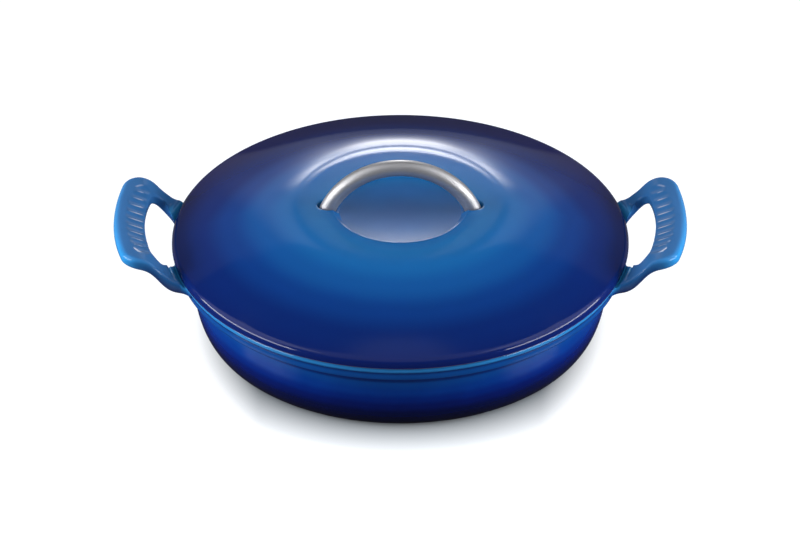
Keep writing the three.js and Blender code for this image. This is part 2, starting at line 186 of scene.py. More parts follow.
def ease(x: np.ndarray, low: float | np.ndarray, high: float | np.ndarray) -> np.ndarray:
    """Rises smoothly from 0 at low to 1 at high: 3t^2 - 2t^3 of the share t between them."""
    share = np.clip((np.asarray(x, float) - low) / (high - low), 0, 1)
    return share * share * (3 - 2 * share)


def bell(x: np.ndarray, width: float) -> np.ndarray:
    """A bell curve: e to the power of minus the square of x over the width."""
    return np.exp(-((x / width) ** 2))


def cubic(
    start: np.ndarray, leave: np.ndarray, arrive: np.ndarray, end: np.ndarray, count: int
) -> np.ndarray:
    """A cubic Bezier curve: its four points weighted by the terms of (1 - t + t) cubed.

    Args:
        start: first point.
        leave: the point that it sets out towards.
        arrive: the point that it comes in from.
        end: last point.
        count: number of points.

    Returns:
        The points, one row each.
    """
    t = np.linspace(0, 1, count)[:, None]
    return (1 - t) ** 3 * start + 3 * (1 - t) ** 2 * t * leave + 3 * (1 - t) * t**2 * arrive + t**3 * end


def soft_min(a: np.ndarray, b: np.ndarray, width: float) -> np.ndarray:
    """The lower of two heights, with the crease between them rounded over a width.

    Args:
        a: first heights.
        b: second heights.
        width: difference of heights below which they melt together.

    Returns:
        The rounded minimum.
    """
    share = np.clip(0.5 + 0.5 * (b - a) / width, 0, 1)
    return b * (1 - share) + a * share - width * share * (1 - share)


def marks(like: np.ndarray, **given: np.ndarray) -> dict[str, np.ndarray]:
    """The values that an enamelled piece's points carry.

    Args:
        like: an array of the wanted shape.
        given: the values that aren't zero, by name.

    Returns:
        Every mark, with zeros for those that aren't given.
    """
    return {name: given.get(name, 0.0) + np.zeros_like(like, dtype=float) for name in MARKS}


@dataclass
class Shell:
    """A closed surface: its points, its faces and the values that its points carry."""

    points: np.ndarray
    quads: np.ndarray
    tris: np.ndarray
    values: dict[str, np.ndarray] = field(default_factory=dict)

    @staticmethod
    def weave(rows: int, cols: int, wrap_rows: bool, wrap_cols: bool) -> np.ndarray:
        """Faces of a grid of points that is numbered row by row.

        Args:
            rows: number of rows.
            cols: number of columns.
            wrap_rows: whether the last row joins the first.
            wrap_cols: whether the last column joins the first.

        Returns:
            Four point numbers for each face.
        """
        i = np.arange(rows if wrap_rows else rows - 1)[:, None]
        j = np.arange(cols if wrap_cols else cols - 1)[None, :]
        below, above = i * cols, (i + 1) % rows * cols
        right = (j + 1) % cols
        return np.stack([below + j, below + right, above + right, above + j], axis=-1).reshape(-1, 4)

    @classmethod
    def turned(cls, grid: np.ndarray, values: Mapping[str, np.ndarray]) -> "Shell":
        """A surface turned round an axis, whose first and last rows lie on the axis.

        Args:
            grid: points as rows along the profile by columns round the axis.
            values: a number for each point of the grid, by name.

        Returns:
            The surface, with one point at each pole.
        """
        rows, cols = grid.shape[:2]
        inner = grid[1:-1].reshape(-1, 3)
        points = np.concatenate([inner, grid[:1, 0], grid[-1:, 0]])
        quads = cls.weave(rows - 2, cols, False, True)
        j = np.arange(cols)
        right, last = (j + 1) % cols, (rows - 3) * cols
        first_pole, last_pole = len(inner), len(inner) + 1
        start = np.column_stack([np.full(cols, first_pole), right, j])
        end = np.column_stack([last + j, last + right, np.full(cols, last_pole)])
        carried = {
            name: np.concatenate([value[1:-1].ravel(), value[:1, 0], value[-1:, 0]])
            for name, value in values.items()
        }
        return cls(points, quads, np.concatenate([start, end]), carried)

    @classmethod
    def ring(cls, grid: np.ndarray) -> "Shell":
        """A surface that closes on itself both ways.

        Args:
            grid: points as rows along the section by columns round the axis.

        Returns:
            The surface.
        """
        rows, cols = grid.shape[:2]
        return cls(grid.reshape(-1, 3), cls.weave(rows, cols, True, True), np.zeros((0, 3), int))

    @classmethod
    def capped(cls, grid: np.ndarray, values: Mapping[str, np.ndarray]) -> "Shell":
        """A tube of closed sections, with a cap of triangles over each end.

        Args:
            grid: points as rows along the tube by columns round the section.
            values: a number for each point of the grid, by name.

        Returns:
            The surface.
        """
        rows, cols = grid.shape[:2]
        middles = grid[[0, -1]].mean(axis=1)
        points = np.concatenate([grid.reshape(-1, 3), middles])
        j = np.arange(cols)
        right, last = (j + 1) % cols, (rows - 1) * cols
        start = np.column_stack([np.full(cols, rows * cols), right, j])
        end = np.column_stack([last + j, last + right, np.full(cols, rows * cols + 1)])
        carried = {
            name: np.concatenate([value.ravel(), value[[0, -1]].mean(axis=1)])
            for name, value in values.items()
        }
        return cls(points, cls.weave(rows, cols, False, True), np.concatenate([start, end]), carried)

    def volume(self) -> float:
        """The volume that the faces enclose: a sixth of the sum of the triangles' triple products.

        Returns:
            The volume, negative where the faces point inwards.
        """
        tris = np.concatenate([self.quads[:, [0, 1, 2]], self.quads[:, [0, 2, 3]], self.tris])
        a, b, c = (self.points[tris[:, k]] for k in range(3))
        return float(np.einsum("ij,ij->i", a, np.cross(b, c)).sum() / 6)

    def piece(self, name: str) -> bpy.types.Object:
        """Makes the surface an object at the origin, smooth, with its faces outwards.

        Args:
            name: the piece's name.

        Returns:
            The new object.
        """
        turn = slice(None, None, 1 if self.volume() > 0 else -1)
        mesh = bpy.data.meshes.new(name)
        faces = self.quads[:, turn].tolist() + self.tris[:, turn].tolist()
        mesh.from_pydata(self.points.tolist(), [], faces)
        for key, value in self.values.items():
            layer = mesh.attributes.new(key, "FLOAT", "POINT")
            layer.data.foreach_set("value", value.astype(np.float32))
        mesh.shade_smooth()
        mesh.validate()
        piece = bpy.data.objects.new(name, mesh)
        bpy.context.scene.collection.objects.link(piece)
        LOG.info("%s: %d points, %d faces", name, len(self.points), len(faces))
        return piece


Feed = Union["Number", bpy.types.NodeSocket, float, Sequence[float]]


class Board:
    """The node sheet of one material or of the world."""

    def __init__(self, tree: bpy.types.NodeTree) -> None:
        """Clears a node tree to work on it."""
        self.tree = tree
        tree.nodes.clear()

    @classmethod
    def for_material(cls, name: str) -> tuple[bpy.types.Material, "Board"]:
        """A new material and its node sheet.

        Args:
            name: the material's name.

        Returns:
            The material and the sheet.
        """
        material = bpy.data.materials.new(name)
        material.use_nodes = True
        return material, cls(material.node_tree)

    def node(
        self,
        kind: str,
        settings: Mapping[str, Any] | None = None,
        inputs: Mapping[Union[str, int], Feed] | None = None,
    ) -> bpy.types.Node:
        """Adds a node.

        Args:
            kind: the node's type.
            settings: its settings, which are set first; stops gives a ramp's places and colours.
            inputs: values or links for its sockets, by name or number.

        Returns:
            The new node.
        """
        node = self.tree.nodes.new(kind)
        for name, value in (settings or {}).items():
            if name == "stops":
                self._set_stops(node.color_ramp, value)
            else:
                setattr(node, name, value)
        for key, value in (inputs or {}).items():
            self._feed(node.inputs[key], value)
        return node

    @staticmethod
    def _set_stops(ramp: bpy.types.ColorRamp, stops: Stops) -> None:
        """Gives a ramp its stops.

        Args:
            ramp: the colour ramp.
            stops: places and colours, in order of place.
        """
        ramp.interpolation = "EASE"
        while len(ramp.elements) < len(stops):
            ramp.elements.new(0.5)
        for element, (place, colour) in zip(ramp.elements, stops):
            element.position = place
            element.color = (*colour, 1)

    def _feed(self, socket: bpy.types.NodeSocket, value: Feed) -> None:
        """Links a socket to an output, or sets its value.

        Args:
            socket: the input.
            value: an output, a wrapped output or a plain value.
        """
        if isinstance(value, Number):
            self.tree.links.new(value.socket, socket)
        elif isinstance(value, bpy.types.NodeSocket):
            self.tree.links.new(value, socket)
        elif socket.type == "RGBA" and len(value) == 3:
            socket.default_value = (*value, 1)
        else:
            socket.default_value = value

    def number(self, socket: bpy.types.NodeSocket) -> "Number":
        """Wraps an output so that Python's operators work on it."""
        return Number(self, socket)

    def attribute(self, name: str) -> "Number":
        """The number that a piece's points carry under a name."""
        return self.number(self.node("ShaderNodeAttribute", {"attribute_name": name}).outputs["Fac"])

    def place(self) -> bpy.types.NodeSocket:
        """A point's place in the object's own coordinates."""
        return self.node("ShaderNodeTexCoord").outputs["Object"]

    def noise(self, place: Feed, scale: float, detail: float = 2.0) -> "Number":
        """Soft random numbers round 0.5 over the surface.

        Args:
            place: the coordinates to read.
            scale: cells to the metre.
            detail: octaves of finer noise.

        Returns:
            The noise, from about 0 to 1.
        """
        inputs = {"Vector": place, "Scale": scale, "Detail": detail}
        return self.number(self.node("ShaderNodeTexNoise", None, inputs).outputs[0])

    def mix(self, share: Feed, a: Feed, b: Feed, blend: str = "MIX") -> bpy.types.NodeSocket:
        """Mixes two colours.

        Args:
            share: how much of b.
            a: first colour.
            b: second colour.
            blend: the way of mixing.

        Returns:
            The mixed colour.
        """
        settings = {"data_type": "RGBA", "blend_type": blend}
        return self.node("ShaderNodeMix", settings, {0: share, 6: a, 7: b}).outputs[2]

    def bump(self, distance: float, height: "Number") -> bpy.types.NodeSocket:
        """The normal of a surface that a height from 0 to 1 lifts by up to a distance."""
        inputs = {"Strength": 1.0, "Distance": distance, "Height": height}
        return self.node("ShaderNodeBump", None, inputs).outputs[0]

    def output(self, shader: bpy.types.Node, kind: str = "Material") -> None:
        """Links a shader to the output of the material or of the world."""
        self.node(f"ShaderNodeOutput{kind}", None, {0: shader.outputs[0]})


class Number:
    """A number in a node tree, on which Python's operators add Math nodes."""

    def __init__(self, board: Board, socket: bpy.types.NodeSocket) -> None:
        """Wraps an output of a node on a board."""
        self.board = board
        self.socket = socket

    def _math(self, operation: str, first: Feed, second: Feed = 0.0, clamp: bool = False) -> "Number":
        """Adds one Math node.

        Args:
            operation: what it works out.
            first: its first value.
            second: its second value.
            clamp: whether the result stays between 0 and 1.

        Returns:
            The result.
        """
        settings = {"operation": operation, "use_clamp": clamp}
        node = self.board.node("ShaderNodeMath", settings, {0: first, 1: second})
        return Number(self.board, node.outputs[0])

    def __add__(self, other: Feed) -> "Number":
        """Adds."""
        return self._math("ADD", self, other)

    __radd__ = __add__

    def __sub__(self, other: Feed) -> "Number":
        """Subtracts."""
        return self._math("SUBTRACT", self, other)

    def __rsub__(self, other: Feed) -> "Number":
        """Subtracts this from the other."""
        return self._math("SUBTRACT", other, self)

    def __mul__(self, other: Feed) -> "Number":
        """Multiplies."""
        return self._math("MULTIPLY", self, other)

    __rmul__ = __mul__

    def __truediv__(self, other: Feed) -> "Number":
        """Divides."""
        return self._math("DIVIDE", self, other)

    def root(self) -> "Number":
        """The square root."""
        return self._math("SQRT", self)

    def clamped(self) -> "Number":
        """Kept between 0 and 1."""
        return self._math("ADD", self, 0.0, clamp=True)


@dataclass(frozen=True)
class Enamel:
    """Glossy vitreous enamel whose colour runs from one shade to another.

    Its run along the radius is made longer behind the axis, by a share of the distance, so the colour darkens
    sooner at the back: painted shade.
    """

    name: str
    along: Along
    start: float
    end: float
    stops: Stops
    thin: Colour
    pooled: Colour
    crest: Colour
    inside: Colour
    rear_shade: float = 0.0
    roughness: float = 0.07
    specular: float = 0.3
    ripple_scale: float = 420.0
    ripple_depth: float = 0.000006
    ripple_rough: float = 0.05
    ripple_detail: float = 1.0
    cloud_scale: float = 55.0
    cloud_shift: float = 0.03
    cloud_shade: float = 0.16

    def material(self) -> bpy.types.Material:
        """Builds the enamel.

        The colour is a ramp over the height or the radius. The points' own marks draw it towards
        other shades: paler where the enamel runs thinner at edges, which also paints light on the handles'
        ledges and a highlight on the lid's lower edge; painted shade in the pot's hollows and on the handles'
        side walls; a painted highlight along the flutes; and the lining inside.

        Returns:
            The material.
        """
        material, board = Board.for_material(self.name)
        place = board.place()
        axes = board.node("ShaderNodeSeparateXYZ", None, {0: place}).outputs
        x, y, z = (board.number(output) for output in axes)
        # Behind the axis the run is stretched, which paints shade on the back of a graded lid.
        run = z if self.along is Along.HEIGHT else (x * x + y * y).root() + y.clamped() * self.rear_shade
        cloud = board.noise(place, self.cloud_scale) - 0.5
        share = (run - self.start) / (self.end - self.start) + cloud * self.cloud_shift
        colour = board.node("ShaderNodeValToRGB", {"stops": self.stops}, {0: share}).outputs[0]
        for mark in MARKS:
            colour = board.mix(board.attribute(mark).clamped(), colour, getattr(self, mark))
        shade = 1 + cloud * self.cloud_shade
        tint = board.node("ShaderNodeCombineXYZ", None, {0: shade, 1: shade, 2: shade}).outputs[0]
        colour = board.mix(1.0, colour, tint, "MULTIPLY")
        ripple = board.noise(place, self.ripple_scale, self.ripple_detail)
        shader = board.node(
            "ShaderNodeBsdfPrincipled",
            None,
            {
                "Base Color": colour,
                "Roughness": self.roughness + self.ripple_rough * ripple,
                "Specular IOR Level": self.specular,
                "Normal": board.bump(self.ripple_depth, ripple),
            },
        )
        board.output(shader)
        return material


@dataclass(frozen=True)
class SatinSteel:
    """Stainless steel with a fine satin grain that runs along the piece."""

    name: str
    colour: Colour
    roughness: float
    grain: tuple[float, float, float]
    metallic: float = 1.0
    grain_depth: float = 0.000006
    grain_dark: float = 0.72
    grain_rough: float = 0.12
    grain_detail: float = 4.0

    def material(self) -> bpy.types.Material:
        """Builds the steel: noise stretched along the grain shades it, roughens it and scores it.

        Returns:
            The material.
        """
        material, board = Board.for_material(self.name)
        stretched = board.node("ShaderNodeMapping", None, {"Vector": board.place(), "Scale": self.grain})
        grain = board.noise(stretched.outputs[0], 1.0, self.grain_detail)
        dark = tuple(self.grain_dark * c for c in self.colour)
        colour = board.mix(grain, dark, self.colour)
        shader = board.node(
            "ShaderNodeBsdfPrincipled",
            None,
            {
                "Base Color": colour,
                "Metallic": self.metallic,
                "Roughness": self.roughness + self.grain_rough * (grain - 0.5),
                "Normal": board.bump(self.grain_depth, grain),
            },
        )
        board.output(shader)
        return material


def dress(piece: bpy.types.Object, material: bpy.types.Material, body: Body, slot: Slot, *nodes: str) -> None:
    """Gives a piece its finish and its body, and hides the CAD nodes that it stands for.

    Args:
        piece: the piece.
        material: its finish.
        body: what it moves with.
        slot: the record's material slot; not used.
        nodes: the CAD nodes that it replaces.
    """
    piece.data.materials.append(material)
    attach(piece, body.value)
    if nodes:
        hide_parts(*nodes)


@dataclass
class LoopHandle:
    """A loop handle cast on the rim: two arms with a ledge, a swan neck and a fluted grip."""

    rim_radius: float
    rim_height: float
    lid_radius: float
    length: float = 104 * MM
    reach: float = 41.2 * MM
    thickness: float = 9 * MM
    edge: float = 2.2 * MM
    tip_edge: float = 4.2 * MM
    tip_pale: float = 2.4 * MM
    tip_edge_end: float = 0.4
    arm_edge_start: float = 0.7
    arm_width: float = 12.7 * MM
    grip_width: float = 21 * MM
    tip_bow: float = 175 * MM
    hole_bow: float = 140 * MM
    outer_corner: float = 12.5 * MM
    hole_corner: float = 8.5 * MM
    hole_root: float = 32 * MM
    hole_flare: float = 0.7
    hole_low: float = 0.7
    hole_high: float = 0.1
    low_flare: float = 8 * MM
    high_flare: float = 3 * MM
    root_embed: float = 11.6 * MM
    arm_drop: float = 2.2 * MM
    neck_rise: float = 20.3 * MM
    neck_offset: float = 10.2 * MM
    neck_softness: float = 4.2 * MM
    fill: float = 0.8 * MM
    fill_offset: float = 5.5 * MM
    fill_run: float = 3.5 * MM
    tip_droop: float = 2 * MM
    droop_run: float = 11 * MM
    ledge_drop: float = 0.3 * MM
    ledge_rise: float = 4 * MM
    ledge_soft: float = 0.7 * MM
    ledge_blend: tuple[float, float] = (1 * MM, 2 * MM)
    step_clearance: float = 6.7 * MM
    step_cove: float = 2.5 * MM
    step_slope: float = 3.5
    lid_gap: float = 0.3 * MM
    flute_count: int = 10
    flute_pitch: float = 8.3 * MM
    flute_depth: float = 0.7 * MM
    flute_sink: float = 0.5
    flute_soft: float = 0.6 * MM
    flute_margin: float = 0.2 * MM
    flute_inset: float = 8.6 * MM
    flute_bow: float = 100 * MM
    flute_tilt: float = math.radians(21)
    crest_blunt: float = 0.1
    crest_width: float = 0.17
    crest_fade: float = 7 * MM
    crest_start: tuple[float, float] = (0.5 * MM, 3 * MM)
    crest_pale: float = 0.85
    border_width: float = 0.25 * MM
    border_run: float = 2 * MM
    border_highlight_strength: float = 0.5
    side_painted_shade: float = 0.8
    side_depth: float = 0.35
    root_light: float = 0.9
    root_span: tuple[float, float] = (0.8, 0.9)
    ledge_painted_light: float = 1.0
    rows: int = 230
    arc_points: int = 8
    top_points: int = 26
    bottom_points: int = 10

    @property
    def tip(self) -> float:
        """Distance of the tip from the pot's axis."""
        return self.rim_radius + self.reach

    @property
    def last_flute(self) -> float:
        """Distance of the outermost flutes from the grip's middle."""
        return (self.flute_count - 1) / 2 * self.flute_pitch

    def outer_outline(self, root_flare: float) -> np.ndarray:
        """The outer outline in plan: a flat bow at the tip, a corner, the arm and a flare into the rim.

        Args:
            root_flare: radius of the flare.

        Returns:
            Evenly spaced points from the tip to the root.
        """
        bow = self.tip - self.tip_bow
        side = self.length / 2
        corner_y = side - self.outer_corner
        corner_x = bow + math.sqrt((self.tip_bow - self.outer_corner) ** 2 - corner_y**2)
        turn = math.atan2(corner_y, corner_x - bow)
        flare_y = side + root_flare
        flare_x = math.sqrt((self.rim_radius + root_flare) ** 2 - flare_y**2)
        bearing = math.atan2(flare_y, flare_x)
        root = self.rim_radius - self.root_embed
        corner, flare = (self.outer_corner,) * 2, (root_flare,) * 2
        path = chain(
            arc((bow, 0), (self.tip_bow,) * 2, 0, turn, 60),
            arc((corner_x, corner_y), corner, turn, QUARTER, 40),
            arc((flare_x, flare_y), flare, -QUARTER, bearing - math.pi, 40),
            [[root * math.cos(bearing), root * math.sin(bearing)]],
        )
        return even(path, self.rows)

    def hole_outline(self, arrival: float) -> np.ndarray:
        """The finger hole's outline in plan: a flat bow, a corner and a cubic sweep into the rim.

        Args:
            arrival: how long the sweep hugs the rim, from 0 to 1.

        Returns:
            Evenly spaced points from the middle of the grip to the root.
        """
        bow = self.tip - self.grip_width - self.hole_bow
        side = self.length / 2 - self.arm_width
        corner_y = side - self.hole_corner
        corner_x = bow + math.sqrt((self.hole_bow - self.hole_corner) ** 2 - corner_y**2)
        turn = math.atan2(corner_y, corner_x - bow)
        bearing = math.asin(self.hole_root / 2 / self.rim_radius)
        outward = np.array([math.cos(bearing), math.sin(bearing)])
        end = outward * self.rim_radius
        leave = np.array([corner_x - self.hole_flare * (corner_x - end[0]), side])
        arrive = end + np.array([-outward[1], outward[0]]) * arrival * (side - end[1])
        sweep = cubic(np.array([corner_x, side]), leave, arrive, end, 40)
        path = chain(
            arc((bow, 0), (self.hole_bow,) * 2, 0, turn, 60),
            arc((corner_x, corner_y), (self.hole_corner,) * 2, turn, QUARTER, 30),
            sweep,
            [outward * (self.rim_radius - self.root_embed)],
        )
        return even(path, self.rows)

    def middle(self, x: np.ndarray) -> np.ndarray:
        """Height of the section's middle: a logistic rise over the neck, less a square droop at the tip.

        Args:
            x: distance outwards from the pot's axis.

        Returns:
            The heights.
        """
        neck = self.neck_rise / (1 + np.exp((self.rim_radius + self.neck_offset - x) / self.neck_softness))
        droop = np.maximum(0, x - self.tip + self.droop_run) / self.droop_run
        return self.rim_height - self.arm_drop + neck - self.tip_droop * droop**2

    def ledge(self, radius: np.ndarray) -> np.ndarray:
        """Height of the ledge round the lid: a gentle cone, then a round cove up to the step.

        Args:
            radius: distance from the pot's axis.

        Returns:
            The heights.
        """
        step = self.lid_radius + self.step_clearance
        foot = step - self.step_cove
        inner = self.lid_radius + self.lid_gap
        low = self.rim_height - self.ledge_drop
        cone = low + (self.ledge_rise + self.ledge_drop) * np.clip((radius - inner) / (foot - inner), 0, 1)
        inside = np.clip((radius - foot) / self.step_cove, 0, 1)
        cove = self.step_cove * (1 - np.sqrt(1 - inside**2))
        beyond = np.maximum(0, radius - step) * self.step_slope
        return cone + cove + beyond

    def flute_start(self, y: np.ndarray) -> np.ndarray:
        """Where the flutes start: a bow inside the tip."""
        return self.tip - self.flute_inset - self.flute_bow + np.sqrt(self.flute_bow**2 - y**2)

    def flutes(self, x: np.ndarray, y: np.ndarray) -> np.ndarray:
        """Height of the fluted face: a tilted plane, scalloped by the sine of Y, with a parabola at each end.

        Args:
            x: distance outwards from the pot's axis.
            y: distance along the grip from its middle.

        Returns:
            The heights.
        """
        start = self.flute_start(y)
        plane = self.middle(start) + self.thickness / 2 + (x - start) * math.tan(self.flute_tilt)
        scallop = 1 - np.sqrt(np.sin(math.pi * y / self.flute_pitch) ** 2 + self.crest_blunt**2)
        radius = self.flute_pitch**2 / (8 * self.flute_depth)
        beyond = np.maximum(0, np.abs(y) - self.last_flute)
        wave = np.where(beyond > 0, beyond**2 / (2 * radius), self.flute_depth * scallop)
        return plane + wave - self.flute_depth * self.flute_sink

    def top(self, x: np.ndarray, y: np.ndarray) -> np.ndarray:
        """Height of the top face: its own top, filled out at the neck, cut by the ledge and by the flutes.

        Args:
            x: distance outwards from the pot's axis.
            y: distance along the grip from its middle.

        Returns:
            The heights.
        """
        fill = self.fill * bell(x - self.rim_radius - self.fill_offset, self.fill_run)
        plain = self.middle(x) + self.thickness / 2 + fill
        stepped = soft_min(plain, self.ledge(np.hypot(x, y)), self.ledge_soft)
        return soft_min(stepped, self.flutes(x, y), self.flute_soft)

    def crests(self, x: np.ndarray, y: np.ndarray, face: np.ndarray) -> np.ndarray:
        """How strong the painted highlight along the crests is: a bell of the sine of Y, and beyond the last
        flute a bell of the height.

        Args:
            x: distance outwards from the pot's axis.
            y: distance along the grip from its middle.
            face: height of the plain top face.

        Returns:
            The brightness, from 0 to 1.
        """
        rise = self.flutes(x, y) - face
        start = self.flute_start(y)
        ridge = bell(np.sin(math.pi * y / self.flute_pitch), self.crest_width)
        ridge = ridge * (rise < -self.flute_margin) * (np.abs(y) < self.last_flute)
        ridge = ridge * (1 - ease(x, start - self.crest_fade, start))
        border = bell(rise, self.border_width)
        border = border * ease(np.abs(y), self.last_flute, self.last_flute + self.border_run)
        hole = self.tip - self.grip_width
        none, full = self.crest_start
        return np.maximum(ridge, self.border_highlight_strength * border) * ease(x, hole + none, hole + full)

    def section(self, width: np.ndarray, outer_edge: np.ndarray) -> tuple[np.ndarray, np.ndarray]:
        """Rounded rectangles, one for each row: how far across and how high above the middle.

        Args:
            width: width of each section.
            outer_edge: rounding of each section's outer corners.

        Returns:
            Two arrays of rows by points round the section.
        """
        half = self.thickness / 2
        w, e = width[:, None], outer_edge[:, None]
        a = np.linspace(0, QUARTER, self.arc_points)[None, :]
        flat = np.zeros_like(w)
        top = np.linspace(0, 1, self.top_points)[None, 1:-1]
        bottom = np.linspace(0, 1, self.bottom_points)[None, 1:-1]
        across = np.concatenate(
            [
                w - e + e * np.cos(a),
                (w - e) + (self.edge - w + e) * top,
                flat + self.edge * (1 - np.sin(a)),
                flat + self.edge * (1 - np.cos(a)),
                self.edge + (w - e - self.edge) * bottom,
                w - e + e * np.sin(a),
            ],
            axis=1,
        )
        up = np.concatenate(
            [
                half - e + e * np.sin(a),
                flat + half + 0 * top,
                flat + half - self.edge + self.edge * np.cos(a),
                flat + self.edge - half - self.edge * np.sin(a),
                flat - half + 0 * bottom,
                e - half - e * np.cos(a),
            ],
            axis=1,
        )
        return across, up

    def shell(self, side: Side) -> Shell:
        """The handle: rounded sections carried from one root round the grip to the other.

        Args:
            side: which side of the pot.

        Returns:
            The closed surface.
        """
        levels = ((self.low_flare, self.hole_low), (self.high_flare, self.hole_high))
        low, high = (
            [
                np.concatenate([half[:0:-1] * np.array([1, -1]), half])[:, None]
                for half in (self.outer_outline(flare), self.hole_outline(arrival))
            ]
            for flare, arrival in levels
        )
        share = np.abs(np.linspace(-1, 1, len(low[0])))
        fade = ease(share, self.tip_edge_end, self.arm_edge_start)
        outer_edge = self.tip_edge + (self.edge - self.tip_edge) * fade
        width = np.linalg.norm(low[0] - low[1], axis=-1)
        across, up = self.section(width[:, 0], outer_edge)
        level = (0.5 + up / self.thickness)[..., None]
        outer, inner = (below + (above - below) * level for below, above in zip(low, high))
        plan = inner + (outer - inner) * (across / width)[..., None]
        x, y = plan[..., 0], plan[..., 1]
        middle, top = self.middle(x), self.top(x, y)
        face = middle + self.thickness / 2
        z = middle + up * np.where(up > 0, (top - middle) / (self.thickness / 2), 1)
        grid = np.stack([side.value * x, side.value * y, z], axis=-1)
        thin = bell(width - across, self.tip_pale) * (1 - fade)[:, None]
        # Painted light: the ledge's top is drawn towards the pale colour, as if lit.
        sunk, lip = self.ledge_blend
        ledge = ease(face - self.ledge(np.hypot(x, y)), 0, sunk) * ease(up, 0, lip)
        thin = np.maximum(thin, self.ledge_painted_light * ledge)
        # Painted shade: the arms' side walls and undersides are drawn towards a dark blue, less so at the
        # roots.
        dark = self.side_painted_shade * fade * (1 - self.root_light * ease(share, *self.root_span))
        pooled = dark[:, None] * (1 - ease(up, 0, self.side_depth * self.thickness))
        # Painted highlight: a near-white line along each flute's top edge and along the fluting's border.
        crest = self.crest_pale * self.crests(x, y, face) * (up > 0)
        return Shell.capped(grid, marks(x, thin=thin, pooled=pooled, crest=crest))


@dataclass
class Pot:
    """The pot: floor, wall, beaded rim and the two loop handles."""

    rim_radius: float = 152 * MM
    rim_height: float = 60.6 * MM
    rim_overhang: float = 11.8 * MM
    rim_round: float = 1.5 * MM
    band_depth: float = 10.6 * MM
    upper_bead: float = 2.6 * MM
    lower_bead: float = 3 * MM
    lower_bulge: float = 1.2 * MM
    lower_setback: float = 1.2 * MM
    lower_end: float = math.radians(25)
    upper_start: float = -math.pi / 3
    cove_rise: float = 8.1 * MM
    wall: float = 4.2 * MM
    wall_draw: float = 15.4 * MM
    floor: float = 5 * MM
    corner_run: float = 22 * MM
    corner_rise: float = 40 * MM
    foot_width: float = 18 * MM
    foot_recess: float = 0.8 * MM
    recess_end: float = 0.4
    lid_overhang: float = 2 * MM
    bead_pale: float = 0.7
    bead_drop: float = 0.9
    bead_spread: float = 0.55
    painted_hollow_shade: float = 0.75
    cove_blend: tuple[float, float, float] = (1.2 * MM, 0.6 * MM, 1 * MM)
    groove_drop: float = 5.1 * MM
    groove_width: float = 1 * MM
    flat_points: int = 6
    columns: int = 256

    @property
    def wall_radius(self) -> float:
        """Outside radius of the wall under the rim."""
        return self.rim_radius - self.rim_overhang

    @property
    def inside_radius(self) -> float:
        """Inside radius of the wall."""
        return self.wall_radius - self.wall

    @property
    def band_bottom(self) -> float:
        """Height of the beaded band's lower edge."""
        return self.rim_height - self.band_depth

    def outside(self) -> np.ndarray:
        """The outside profile, from the middle underneath up to the rim's flat top.

        A recess, a foot, an elliptic wall, a cove and two beads, each a line or an arc.

        Returns:
            Radius and height, one row each.
        """
        foot = self.wall_radius - self.wall_draw
        foot_inner = foot - self.foot_width
        bead = (self.rim_radius - self.lower_setback - self.lower_bulge, self.band_bottom + self.lower_bead)
        wall_top = self.band_bottom - self.cove_rise
        cove = (bead[0] - self.wall_radius, self.cove_rise)
        upper = (self.rim_radius - self.upper_bead, self.rim_height - self.upper_bead)
        return chain(
            straight((0, self.foot_recess), (foot_inner - 2 * self.foot_recess, self.foot_recess), 16),
            arc((foot_inner - 2 * self.foot_recess, 0), (self.foot_recess,) * 2, QUARTER, self.recess_end, 6),
            straight((foot_inner, 0), (foot, 0), 6),
            arc((foot, wall_top), (self.wall_draw, wall_top), -QUARTER, 0, 70),
            arc((bead[0], wall_top), cove, math.pi, QUARTER, 16),
            arc(bead, (self.lower_bulge, self.lower_bead), -QUARTER, self.lower_end, 18),
            arc(upper, (self.upper_bead,) * 2, self.upper_start, QUARTER, 20),
        )

    def lining(self) -> np.ndarray:
        """The inside profile, from the rim's flat top down the wall to the middle of the floor.

        Returns:
            Radius and height, one row each.
        """
        corner = (self.inside_radius - self.corner_run, self.floor + self.corner_rise)
        rim = (self.inside_radius + self.rim_round, self.rim_height - self.rim_round)
        start, end = (self.rim_radius - self.upper_bead, self.rim_height), (rim[0], self.rim_height)
        return chain(
            straight(start, end, self.flat_points),
            arc(rim, (self.rim_round,) * 2, QUARTER, math.pi, 8),
            arc(corner, (self.corner_run, self.corner_rise), 0, -QUARTER, 54),
            straight((corner[0], self.floor), (0, self.floor), 18),
        )

    def shell(self) -> Shell:
        """The body: outside and inside profiles turned round the Z axis.

        Returns:
            The closed surface.
        """
        outside, lining = self.outside(), self.lining()
        profile = np.concatenate([outside, lining[1:]])
        grid = revolve(profile, self.columns)
        inside = (np.arange(len(profile)) >= len(outside) + self.flat_points).astype(float)
        radius, up = profile.T
        beads = self.upper_bead
        bead = bell(up - self.rim_height + self.bead_drop * beads, self.bead_spread * beads)
        bead = bead * ease(radius, self.rim_radius - beads, self.rim_radius - beads / 2)
        # Painted shade: the cove under the beaded band and the groove between the beads are darkened.
        low, high = self.band_bottom - self.cove_rise, self.band_bottom
        before, after, end = self.cove_blend
        cove = ease(up, low - before, low + after) * (1 - ease(up, high, high + end))
        groove = bell(up - self.rim_height + self.groove_drop, self.groove_width)
        hollow = np.maximum(cove, groove) * (1 - inside)
        given = {"thin": self.bead_pale * bead, "pooled": self.painted_hollow_shade * hollow, "inside": inside}
        shape = np.zeros(grid.shape[:2])
        return Shell.turned(grid, marks(shape, **{name: value[:, None] for name, value in given.items()}))

    def build(self, material: bpy.types.Material) -> None:
        """Makes the body and its handles, and dresses them.

        Args:
            material: the pot's enamel.
        """
        body = self.shell().piece("pot_body")
        dress(body, material, Body.POT, Slot.POT_ENAMEL, "pot_casting")
        handle = LoopHandle(self.rim_radius, self.rim_height, self.rim_radius + self.lid_overhang)
        for side in Side:
            piece = handle.shell(side).piece(f"loop_handle_{side.name.lower()}")
            dress(piece, material, Body.POT, Slot.POT_ENAMEL)


